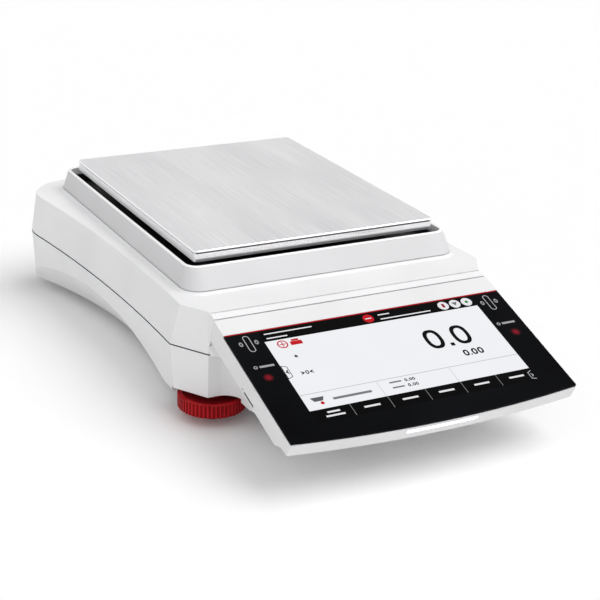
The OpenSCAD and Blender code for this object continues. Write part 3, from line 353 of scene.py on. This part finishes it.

# Top of the casing: a second casting that closes the base along a fine groove, with the
# shelf round the pan frame and the sloping strip in front. Same coat as the base; the
# groove's own faces are painted dark grey like the face below them, as painted shade.
GROOVE = 0.8
cover = soften("top_housing", powder_coat, radius_mm=0.4)
cover.data.materials.append(painted_joint_shade)
# Faces in the groove take the painted shade.
for face in cover.data.polygons:
    if face.center.z / MM < PARTING + GROOVE + NEAR:
        face.material_index = 1

# Weighing well: a shallow black ABS tray under the pan, moulded in one piece and screwed to
# the shelf inside the frame.
WELL_RADIUS = 0.3
# Grained black ABS: a soft, even black, its 0.2 mm grain drawn at 0.6 mm so that it shows.
black_abs = grained("grained_black_abs", "#17171a", "#0f0f11", grain_mm=0.6, cloud_mm=20, depth_mm=0.02,
                    rough=0.5)
soften("weigh_well", black_abs, radius_mm=WELL_RADIUS)

# Pan frame: a raised white ABS frame, moulded with tapered walls, that stands round the well
# and keeps draughts off the pan.
RIM = 0.8
# Satin ABS, a greyish white: its spark-eroded 0.2 mm grain is drawn at 0.7 mm so that it shows.
grey_white_abs = grained("satin_grey_white_abs", "#d8d8da", "#d2d2d3", grain_mm=0.7, cloud_mm=50,
                         depth_mm=0.012, rough=0.4)
pan_frame = soften("pan_frame", grey_white_abs, radius_mm=0.35, rim_mm=RIM)
# The rim is painted whiter than the frame as a painted highlight, and is glossier.
painted_rim_highlight = grained("painted_highlight_rim", "#ffffff", "#f8f8f8", grain_mm=0.7, cloud_mm=50,
                        depth_mm=0.004, rough=0.2)
pan_frame.data.materials.append(painted_rim_highlight)
rim_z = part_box("pan_frame")[1][2]
# Faces along the rim take the painted highlight.
for face in pan_frame.data.polygons:
    if face.center.z > rim_z - RIM * MM:
        face.material_index = 1

# Pan: 1.2 mm stainless sheet over a folded skirt, belt-brushed along its depth. It lies loose
# on the carrier's pads and lifts off.
SHEET, SEAM, SEAM_EDGE = 1.2, 0.8, 0.1
LEVEL, SIDEWAYS = 0.98, 0.7
BRUSH, BRUSH_RUN = 0.7, 110
BAND, BAND_RUN, BAND_SHARE = 40, 5, 0.5
# Brushed stainless: silky streaks along the depth. The 0.1 mm brush lines are drawn at 0.7 mm
# so that they show at this distance; broad, faint bands stand for the belt's passes and
# for a painted slow sheen.
brushed_steel, tree, shader = new_finish("brushed_stainless", Metallic=1.0)
place = add_node(tree, "TexCoord").outputs["Object"]
stretch = [1 / (BRUSH * MM), 1 / (BRUSH * BRUSH_RUN * MM), 1 / MM]
lined = add_node(tree, "Mapping", {"Scale": stretch}, {"Vector": place}).outputs[0]
fine = {"Scale": 1.0, "Detail": 4.0, "Roughness": 0.7}
lines = add_node(tree, "TexNoise", fine, {"Vector": lined}).outputs[0]
stretch = [1 / (BAND * MM), 1 / (BAND * BAND_RUN * MM), 1 / MM]
wide = add_node(tree, "Mapping", {"Scale": stretch}, {"Vector": place}).outputs[0]
bands = add_node(tree, "TexNoise", {"Scale": 1.0, "Detail": 2.0}, {"Vector": wide}).outputs[0]
blend = {"operation": "MULTIPLY_ADD", 1: BAND_SHARE}
both = add_node(tree, "Math", blend, {0: bands, 2: lines}).outputs[0]
share = add_node(tree, "MapRange", {"From Min": 0.5, "From Max": 1.0}, {"Value": both}).outputs[0]
tone = add_node(tree, "Mix", {"data_type": "RGBA", 6: srgb("#c4c4c6"), 7: srgb("#e6e6e7")}, {0: share})
span = {"From Min": 0.3, "From Max": 0.7, "To Min": 0.3, "To Max": 0.42}
gloss = add_node(tree, "MapRange", span, {"Value": lines})
relief = add_node(tree, "Bump", {"Strength": 0.25, "Distance": 0.01 * MM}, {"Height": lines})
feed(tree, shader, {"Base Color": tone.outputs[2], "Roughness": gloss.outputs[0],
                    "Normal": relief.outputs[0]})
pan = soften("pan", brushed_steel, radius_mm=0.12, rim_mm=0.9)
# The ends' fold is left bright, drawn along its length, and the seam under the sheet is painted
# near black there as painted shade. The sides are folded along the brushing and keep a satin skin.
polished_fold = turned("polished_fold", "#f6f6f6", "#e8e8ea", line_mm=0.8, rough=0.14, axes="xy")
painted_seam_shade = grained("painted_seam_shade", "#1c1c1e", "#101012", grain_mm=0.4, cloud_mm=10, depth_mm=0.01,
                    rough=0.6)
satin_fold = turned("satin_fold", "#fafafa", "#eeeef0", line_mm=0.8, rough=0.6, axes="xy")
for finish in (polished_fold, painted_seam_shade, satin_fold):
    pan.data.materials.append(finish)
BRUSHED_FACE, POLISHED_FACE, SEAM_FACE, SATIN_FACE = range(4)
pan_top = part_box("pan")[1][2] / MM
for face in pan.data.polygons:
    drop = pan_top - face.center.z / MM
    if face.normal.z > LEVEL:
        face.material_index = BRUSHED_FACE
    # Seam faces at the ends take the painted shade.
    elif SHEET - SEAM_EDGE < drop < SHEET + SEAM + SEAM_EDGE and abs(face.normal.y) > SIDEWAYS:
        face.material_index = SEAM_FACE
    elif abs(face.normal.x) > SIDEWAYS:
        face.material_index = SATIN_FACE
    else:
        face.material_index = POLISHED_FACE

# Terminal: a white ABS tub with a bowed lip, moulded in one piece and screwed to the nose of
# the base. It slopes towards the user, and the glass closes it.
SLOPE, GLASS_DOWN = math.radians(18), 21.4
# Satin white ABS: soft highlights, its spark-eroded 0.2 mm grain drawn at 0.7 mm so that it shows.
white_abs = grained("satin_white_abs", "#e7e7e8", "#e0e0e1", grain_mm=0.7, cloud_mm=50, depth_mm=0.012,
                    rough=0.4)
soften("terminal_shell", white_abs, radius_mm=0.4)
# Places on the terminal are in the slope's own frame, in millimetres: x across and y up the
# slope from the terminal's upper edge. The glass begins GLASS_DOWN below that edge.
glass = nodes["cover_glass"]
glass_points = [glass.matrix_world @ vertex.co for vertex in glass.data.vertices]
glass_edge = max(glass_points, key=lambda point: point.z)
slope = (Matrix.Translation((0, glass_edge.y, glass_edge.z)) @ Matrix.Rotation(SLOPE, 4, "X")
         @ Matrix.Translation((0, GLASS_DOWN * MM, 0)))

# Mouth of the card slot in the terminal's left side: a black block with small moulded radii
# just inside the opening. It stands for the nylon socket's face and for painted shade in the slot.
MOUTH_THICK, MOUTH_LONG, MOUTH_HIGH, MOUTH_RADIUS = 0.5, 12.9, 1.5, 0.1
MOUTH_IN, MOUTH_Y, MOUTH_Z = 0.25, -62, -13.6
mouth_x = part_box("terminal_shell")[0][0] + (MOUTH_IN + MOUTH_THICK / 2) * MM
mouth_mesh = bpy.data.meshes.new("card_slot_shade_block")
work = bmesh.new()
bmesh.ops.create_cube(work, size=MM)
bmesh.ops.scale(work, vec=(MOUTH_THICK, MOUTH_LONG, MOUTH_HIGH), verts=work.verts)
bmesh.ops.bevel(work, geom=work.edges, offset=MOUTH_RADIUS * MM, offset_type="OFFSET",
                segments=EDGE_STEPS, profile=0.5, affect="EDGES")
work.to_mesh(mouth_mesh)
work.free()
mouth_mesh.transform(slope @ Matrix.Translation((mouth_x, MOUTH_Y * MM, MOUTH_Z * MM)))
mouth_mesh.materials.append(black_nylon)
mouth = bpy.data.objects.new("card_slot_shade_block", mouth_mesh)
bpy.context.scene.collection.objects.link(mouth)
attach(mouth, "housing")

# Touch glass: a sheet of strengthened glass with a bowed lower edge, printed black on its
# back and bonded into the tub over the screen.
SHEEN_PATCH = 60
# Coated black glass: near black, with hardly a reflection, and faint wide patches of painted sheen.
touch_glass, tree, shader = new_finish("black_touch_glass", Specular_IOR_Level=0.008)
place = add_node(tree, "TexCoord").outputs["Object"]
wide = {"Scale": 1 / (SHEEN_PATCH * MM), "Detail": 3.0}
sheen_patches = add_node(tree, "TexNoise", wide, {"Vector": place}).outputs[0]
tone = add_node(tree, "Mix", {"data_type": "RGBA", 6: srgb("#040405"), 7: srgb("#151619")}, {0: sheen_patches})
gloss = add_node(tree, "MapRange", {"To Min": 0.04, "To Max": 0.1}, {"Value": sheen_patches})
feed(tree, shader, {"Base Color": tone.outputs[2], "Roughness": gloss.outputs[0]})
dress(touch_glass, "display_panel")
soften("cover_glass", touch_glass, radius_mm=0.2)

# Status light: a bar of clear acrylic, pressed into the terminal's lip and lit white from
# behind by the terminal's board.
CLOUDING = 8
# Lit acrylic: an even white glow that turns faintly violet in patches.
light_acrylic, tree, shader = new_finish("lit_clear_acrylic", Roughness=0.2, Emission_Strength=0.9)
place = add_node(tree, "TexCoord").outputs["Object"]
glow = add_node(tree, "TexNoise", {"Scale": 1 / (CLOUDING * MM)}, {"Vector": place}).outputs[0]
tone = add_node(tree, "Mix", {"data_type": "RGBA", 6: srgb("#f3f0ff"), 7: srgb("#ffffff")}, {0: glow})
feed(tree, shader, {"Base Color": tone.outputs[2], "Emission Color": tone.outputs[2]})
soften("light_bar", light_acrylic, radius_mm=0.2)

# Lit picture: what the liquid crystal panel shows through the glass, a pale field between two
# black bands with figures, bars and signs. It is drawn as thin films on the glass, each in
# one colour, in the slope's frame.
FILM, PATCH, PATCH_LEVEL = 0.05, 20, 0.97
SCREEN, FIELD, HEAD_BAND, KEY_BAND = 74, (-92.7, -32.2), (-32.2, -22.9), (-102.4, -92.7)
MARKS_LOW, SIGNS_LOW = FILM + 0.01, FILM + 0.06


def circle(x, y, rx, ry=None, count=28, power=2.0):
    """Points of an ellipse; a higher power squares its shoulders."""
    ry = ry or rx
    points = []
    for i in range(count):
        c, s = math.cos(2 * math.pi * i / count), math.sin(2 * math.pi * i / count)
        across = rx * math.copysign(abs(c) ** (2 / power), c)
        points.append((x + across, y + ry * math.copysign(abs(s) ** (2 / power), s)))
    return points


def bar(x0, x1, y0, y1):
    """Corners of an upright rectangle."""
    return [(x0, y0), (x1, y0), (x1, y1), (x0, y1)]


def nought(x, y, w, h, stroke):
    """Outer and inner outline of a figure nought."""
    inner = circle(x, y, w / 2 - stroke, h / 2 - stroke, count=36, power=2.3)
    return [circle(x, y, w / 2, h / 2, count=36, power=2.5), inner]


def film_mesh(name, shapes, low=0.0):
    """Closed films from low upwards; a shape is an outline, or an outer and an inner one."""
    work = bmesh.new()
    for shape in shapes:
        loops = shape if isinstance(shape[0], list) else [shape]
        rows = []
        for loop in loops:
            under = [work.verts.new((x * MM, y * MM, low * MM)) for x, y in loop]
            above = [work.verts.new((x * MM, y * MM, (low + FILM) * MM)) for x, y in loop]
            for i in range(len(loop)):
                work.faces.new((under[i - 1], under[i], above[i], above[i - 1]))
            rows.append((under, above))
        if len(rows) == 1:
            work.faces.new(above)
            work.faces.new(under[::-1])
        else:
            for outer, inner in zip(*rows):
                for i in range(len(outer)):
                    work.faces.new((outer[i - 1], outer[i], inner[i], inner[i - 1]))
    bmesh.ops.recalc_face_normals(work, faces=work.faces)
    mesh = bpy.data.meshes.new(name)
    work.to_mesh(mesh)
    work.free()
    return mesh


def film(name, colour, shapes, low=0.0, light=1.0):
    """A piece of film that shines in one colour, with faint patches."""
    mesh = film_mesh(name, shapes, low)
    mesh.transform(slope)
    finish, tree, shader = new_finish("lit_" + name, Roughness=0.1, Specular_IOR_Level=0.02,
                                      Base_Color=srgb("#050505"), Emission_Strength=light)
    place = add_node(tree, "TexCoord").outputs["Object"]
    patches = add_node(tree, "TexNoise", {"Scale": 1 / (PATCH * MM)}, {"Vector": place}).outputs[0]
    dim = [c * PATCH_LEVEL for c in srgb(colour)[:3]] + [1.0]
    tone = add_node(tree, "Mix", {"data_type": "RGBA", 6: dim, 7: srgb(colour)}, {0: patches})
    feed(tree, shader, {"Emission Color": tone.outputs[2]})
    mesh.materials.append(finish)
    piece = bpy.data.objects.new(name, mesh)
    bpy.context.scene.collection.objects.link(piece)
    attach(piece, "housing")


film("screen_field", "#f1f2f5", [bar(-SCREEN, SCREEN, *FIELD)])
film("screen_bands", "#000000", [bar(-SCREEN, SCREEN, *HEAD_BAND), bar(-SCREEN, SCREEN, *KEY_BAND)],
     light=0.0)
# The large reading, a smaller one below it and two small rows, each of noughts with a point.
ink = [nought(x, -54.6, w=11.6, h=17.0, stroke=2.5) for x in (29, 48.1)]
ink.append(bar(37.3, 40.0, -62.9, -60.2))
ink += [nought(x, -70.6, w=3.7, h=5.3, stroke=1.1) for x in (42.7, 48.6, 52.9)]
ink.append(bar(45.2, 46.2, -73.2, -72.2))
for y in (-83.0, -87.4):
    ink += [nought(x, y, w=1.7, h=2.4, stroke=0.5) for x in (-6.4, -3.2, -1.2)]
    ink.append(bar(-5.1, -4.5, y - 1.2, y - 0.6))
# The zero sign, a nought between two arrow heads.
ZERO_X, ZERO_Y = -60.7, -62.4
ARROW = ((3.9, 1.4), (1.7, 0.3), (1.7, -0.3), (3.9, -1.4), (3.9, -0.6), (2.7, 0.0), (3.9, 0.6))
ink.append(nought(ZERO_X, ZERO_Y, w=2.2, h=3.0, stroke=0.6))
for side in (-1, 1):
    ink.append([(ZERO_X + side * x, ZERO_Y + y) for x, y in ARROW])
# The tab at the left edge with its chevron, and the star.
ink.append([[(-74, -53.6), (-70.4, -55.2), (-70.4, -63.9), (-74, -65.4)],
            [(-73.6, -54.2), (-70.8, -55.5), (-70.8, -63.6), (-73.6, -64.8)]])
ink.append([(-71.3, -57.4), (-73.1, -59.5), (-71.3, -61.6),
            (-71.3, -60.2), (-71.9, -59.5), (-71.3, -58.8)])
STAR_X, STAR_Y, STAR_POINT, STAR_WAIST = -61, -48.1, 1.6, 0.7
star = []
for i in range(12):
    reach = STAR_POINT if i % 2 else STAR_WAIST
    angle = math.pi * i / 6
    star.append((STAR_X + reach * math.cos(angle), STAR_Y + reach * math.sin(angle)))
ink.append(star)
film("screen_figures", "#050505", ink, low=FILM)
# The tab at the right edge of the lower band, the field's dividing lines and its small bars.
tab = [(73.6, -94.6), (70.6, -96.0), (70.6, -101.4), (73.6, -102.3),
       (73.6, -101.8), (71.0, -101.0), (71.0, -96.4), (73.6, -95.1)]
chevron = [(72.1, -97.0), (73.6, -98.6), (72.1, -100.2), (72.1, -99.4), (72.8, -98.6), (72.1, -97.8)]
film("screen_tab", "#b9babd", [tab, chevron], low=FILM)
HAIR = 0.15
dividers = [bar(-SCREEN, SCREEN, -79.9, -79.4)]
dividers += [bar(x - HAIR, x + HAIR, -92.5, -80.2) for x in (-24.6, 24.7)]
film("screen_lines", "#c4c5c8", dividers, low=FILM)
small_bars = [bar(-56, -31, -87.4, -85.6)]
small_bars += [bar(-17.5, -9.5, -83.6, -82.4), bar(-17.5, -9.5, -88.0, -86.8)]
film("screen_captions", "#7b7c80", small_bars, low=FILM)
# Red signs: a ring with a cross, a stepped block, a round sign in the upper band and a dot.
CROSS_X, CROSS_Y = -64.3, -36.6
reds = [[circle(CROSS_X, CROSS_Y, 3.4), circle(CROSS_X, CROSS_Y, 2.6)]]
reds += [bar(-66.4, -62.2, -36.9, -36.3), bar(-64.6, -64.0, -38.7, -34.5)]
reds += [bar(-59.3, -51.6, -38.6, -35.4), bar(-57.8, -53.1, -35.2, -33.6)]
reds += [circle(-1.9, -27.4, 3.6), circle(-63.6, -88.2, 1.2)]
film("screen_red", "#c41a22", reds, low=FILM)
# White buttons and bars of the upper band, and the bars and dividing lines of the lower one.
BUTTON_Y, KEY_HALF = -27.5, 5.2
whites = [circle(x, BUTTON_Y, 3.7) for x in (51.6, 60.1, 68.7)]
whites.append(bar(-4.0, 0.2, -27.8, -27.0))
for x0, x1 in ((5.5, 13.5), (-71.5, -40)):
    whites.append(bar(x0, x1, -26.3, -25.4))
for x0, x1 in ((5.5, 41.0), (-71.5, -58)):
    whites.append(bar(x0, x1, -30.2, -29.3))
whites += [bar(x - KEY_HALF, x + KEY_HALF, -98.2, -96.8) for x in (-36.4, -11.3, 13.1, 37.4, 62)]
whites += [bar(-64.5, -56.5, -96.6, -95.3), bar(-66.5, -54.5, -99.6, -98.3)]
film("screen_marks", "#e9e9ec", whites, low=MARKS_LOW)
rules = [bar(x - HAIR, x + HAIR, -102.2, -92.9) for x in (-48.9, -24.1, 0.9, 25.1, 49.5)]
film("screen_rules", "#8d8e92", rules, low=FILM)
# Signs on the three white buttons, and the small sign of a pan at the lower left.
film("screen_icons", "#8a1018", [bar(50.7, 52.5, -29.2, -25.8)], low=SIGNS_LOW)
film("screen_wave", "#6b6c70", [[(58.2, -26.1), (62.0, -26.1), (60.1, -29.2)]], low=SIGNS_LOW)
film("screen_ready", "#1f7a2c", [circle(68.7, BUTTON_Y, 1.1)], low=SIGNS_LOW)
dish = [(-69.5, -83.2), (-60.7, -83.2), (-62.4, -86.4), (-67.8, -86.4)]
film("scale_sign", "#5d5e62", [dish], low=FILM)

# Print on the glass: a red line along the upper edge, and pale outlines, rings and bars at
# the two touch places. It is screen-printed enamel, drawn as films that shine a little, so
# that it stands out from the dark glass as print does.
PRINT_LIGHT, LINE_LIGHT = 0.8, 0.75
TOUCH_X, TOUCH_Y = 83.6, -31.5
END_RADIUS, HALF_RUN, STROKE, NUDGE = 2.1, 5.0, 0.5, 0.001
RING_Y, RING_ASIDE = -31.0, 5.0
CAPTION_Y, CAPTION_LONG = -51.6, 9.3


def oblong(x, y, radius, half_run):
    """Points of an upright oblong with round ends; the nudge gives each end its own points."""
    points = []
    for i in range(24):
        angle = math.pi * i / 12
        end = math.copysign(half_run, math.sin(angle + NUDGE))
        points.append((x + radius * math.cos(angle), y + end + radius * math.sin(angle)))
    return points


film("glass_red_line", "#cf1f27", [bar(-95.0, 95.0, -22.3, -21.45)], light=LINE_LIGHT)
outlines, rings = [], []
for x in (-TOUCH_X, TOUCH_X):
    radii = (END_RADIUS, END_RADIUS - STROKE)
    outlines.append([oblong(x, TOUCH_Y, radius, HALF_RUN) for radius in radii])
    for aside in (-RING_ASIDE, RING_ASIDE):
        rings.append([circle(x + aside, RING_Y, 1.2, 1.9), circle(x + aside, RING_Y, 0.55, 1.0)])
film("glass_outlines", "#c9c9cc", outlines, light=PRINT_LIGHT)
film("glass_waves", "#b4b4b8", rings, light=PRINT_LIGHT)
captions = [[circle(x, CAPTION_Y, 1.3), circle(x, CAPTION_Y, 0.7)] for x in (-88.6, 77.9)]
captions += [bar(x, x + CAPTION_LONG, -52.5, -50.9) for x in (-86.1, 80.4)]
film("glass_captions", "#b9b9bd", captions, light=PRINT_LIGHT)

# Sensor windows: two round gaps in the black print, left and right of the screen, with the
# touch-free sensors under them.
SPOT_X, SPOT_Y, SPOT_RADIUS = 84.8, -61.0, 4.2
FADE_OUT, FADE_IN, SPOT_LIGHT = 3.6, 0.4, 0.85
for side, name in ((-1, "left_sensor_glow"), (1, "right_sensor_glow")):
    glow_mesh = film_mesh(name, [circle(0, 0, SPOT_RADIUS, count=32)])
    # Lit dark glass: a dark red glow that fades into black towards the rim.
    finish, tree, shader = new_finish("sensor_glow_" + name, Roughness=0.08, Specular_IOR_Level=0.02,
                                      Base_Color=srgb("#0a0a0b"), Emission_Color=srgb("#8f1526"))
    place = add_node(tree, "TexCoord").outputs["Object"]
    reach = add_node(tree, "VectorMath", {"operation": "LENGTH"}, {0: place}).outputs["Value"]
    span = {"interpolation_type": "SMOOTHSTEP", "From Min": FADE_OUT * MM, "From Max": FADE_IN * MM,
            "To Min": 0.0, "To Max": SPOT_LIGHT}
    fade = add_node(tree, "MapRange", span, {"Value": reach})
    feed(tree, shader, {"Emission Strength": fade.outputs[0]})
    glow_mesh.materials.append(finish)
    spot = bpy.data.objects.new(name, glow_mesh)
    bpy.context.scene.collection.objects.link(spot)
    spot.matrix_world = slope @ Matrix.Translation((side * SPOT_X * MM, SPOT_Y * MM, 0))
    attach(spot, "housing")

# Table top: a plain white sheet, painted matt, that the feet stand on. It reaches past the
# view by metres, and the camera sees it a shade lighter, so that it runs into the backdrop.
TABLE_SIDE, TABLE_NEAR, TABLE_FAR = 4.0, -4.0, 6.0
TABLE_DROP, TABLE_LIFT = 0.1, 0.03
floor_mesh = bpy.data.meshes.new("floor")
corners = [(-TABLE_SIDE, TABLE_NEAR, 0), (TABLE_SIDE, TABLE_NEAR, 0),
           (TABLE_SIDE, TABLE_FAR, 0), (-TABLE_SIDE, TABLE_FAR, 0)]
floor_mesh.from_pydata(corners, [], [(0, 1, 2, 3)])
floor = bpy.data.objects.new("floor", floor_mesh)
bpy.context.scene.collection.objects.link(floor)
floor.location.z = -TABLE_DROP * MM
# Matt white paint: no gloss to speak of, so that only the soft shadow shows on it.
table_white, tree, shader = new_finish("white_table_top", Roughness=0.9, Specular_IOR_Level=0.1,
                                       Base_Color=srgb("#fbfbfb"), Emission_Color=srgb("#ffffff"))
seen = add_node(tree, "LightPath").outputs["Is Camera Ray"]
lift = add_node(tree, "Math", {"operation": "MULTIPLY", 1: TABLE_LIFT}, {0: seen}).outputs[0]
feed(tree, shader, {"Emission Strength": lift})
floor_mesh.materials.append(table_white)
floor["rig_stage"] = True

# Studio light: white walls all round, brightest at the front left and above, and one broad
# soft lamp overhead. The camera, gloss and glass see the walls as plain white.
BRIGHT_SIDE, DIM_WALL, BRIGHT_WALL = (-0.66, -0.5, 0.56), 0.15, 0.92
LAMP_ENERGY, LAMP_ANGLE, LAMP_TRAVEL = 1.95, math.radians(55), Vector((-0.55, 0.35, -1.0))
world = bpy.data.worlds.new("studio")
bpy.context.scene.world = world
world.use_nodes = True
tree = world.node_tree
path = add_node(tree, "LightPath").outputs
seen = path["Is Camera Ray"]
for ray in ("Is Glossy Ray", "Is Transmission Ray"):
    seen = add_node(tree, "Math", {"operation": "MAXIMUM"}, {0: seen, 1: path[ray]}).outputs[0]
heading = add_node(tree, "TexCoord").outputs["Generated"]
towards = {"operation": "DOT_PRODUCT", 1: BRIGHT_SIDE}
leftward = add_node(tree, "VectorMath", towards, {0: heading}).outputs["Value"]
span = {"To Min": DIM_WALL, "To Max": BRIGHT_WALL}
walls = add_node(tree, "MapRange", span, {"Value": leftward}).outputs[0]
level = add_node(tree, "Mix", {"B": 1.0}, {"Factor": seen, "A": walls}).outputs[0]
backdrop = tree.nodes["Background"]
backdrop.inputs["Color"].default_value = srgb("#ffffff")
feed(tree, backdrop, {"Strength": level})
lamp = bpy.data.lights.new("overhead", "SUN")
lamp.energy = LAMP_ENERGY
lamp.angle = LAMP_ANGLE
lamp_object = bpy.data.objects.new("overhead", lamp)
bpy.context.scene.collection.objects.link(lamp_object)
lamp_object.rotation_euler = LAMP_TRAVEL.to_track_quat("-Z", "Y").to_euler()
bpy.context.scene.view_settings.view_transform = "Standard"

# Camera: it stands at the front left and above, at the photograph's viewing angle, and looks
# at AIM, in millimetres, from AWAY. FOCAL, FRAME and ASIDE are in pixels of the picture.
AIM, AWAY = Vector((-37.11, -55.1, 62.58)), 931.52
FOCAL, FRAME, ASIDE, SENSOR = 1489.23, 600, 26, 36.0
turn, rise, lean = math.radians(-27.395), math.radians(21.898), math.radians(1.831)
back = Vector((math.sin(turn) * math.cos(rise), -math.cos(turn) * math.cos(rise), math.sin(rise)))
right = Vector((math.cos(turn), math.sin(turn), 0))
up = back.cross(right)
across = right * math.cos(lean) + up * math.sin(lean)
upright = up * math.cos(lean) - right * math.sin(lean)
lens = bpy.data.cameras.new("camera")
lens.sensor_width = SENSOR
lens.lens = FOCAL * SENSOR / FRAME
lens.shift_x = ASIDE / FRAME
camera = bpy.data.objects.new("camera", lens)
bpy.context.scene.collection.objects.link(camera)
stand = (AIM + back * AWAY) * MM
camera.matrix_world = Matrix(((across.x, upright.x, back.x, stand.x),
                              (across.y, upright.y, back.y, stand.y),
                              (across.z, upright.z, back.z, stand.z),
                              (0, 0, 0, 1)))
bpy.context.scene.camera = camera

low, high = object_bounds()
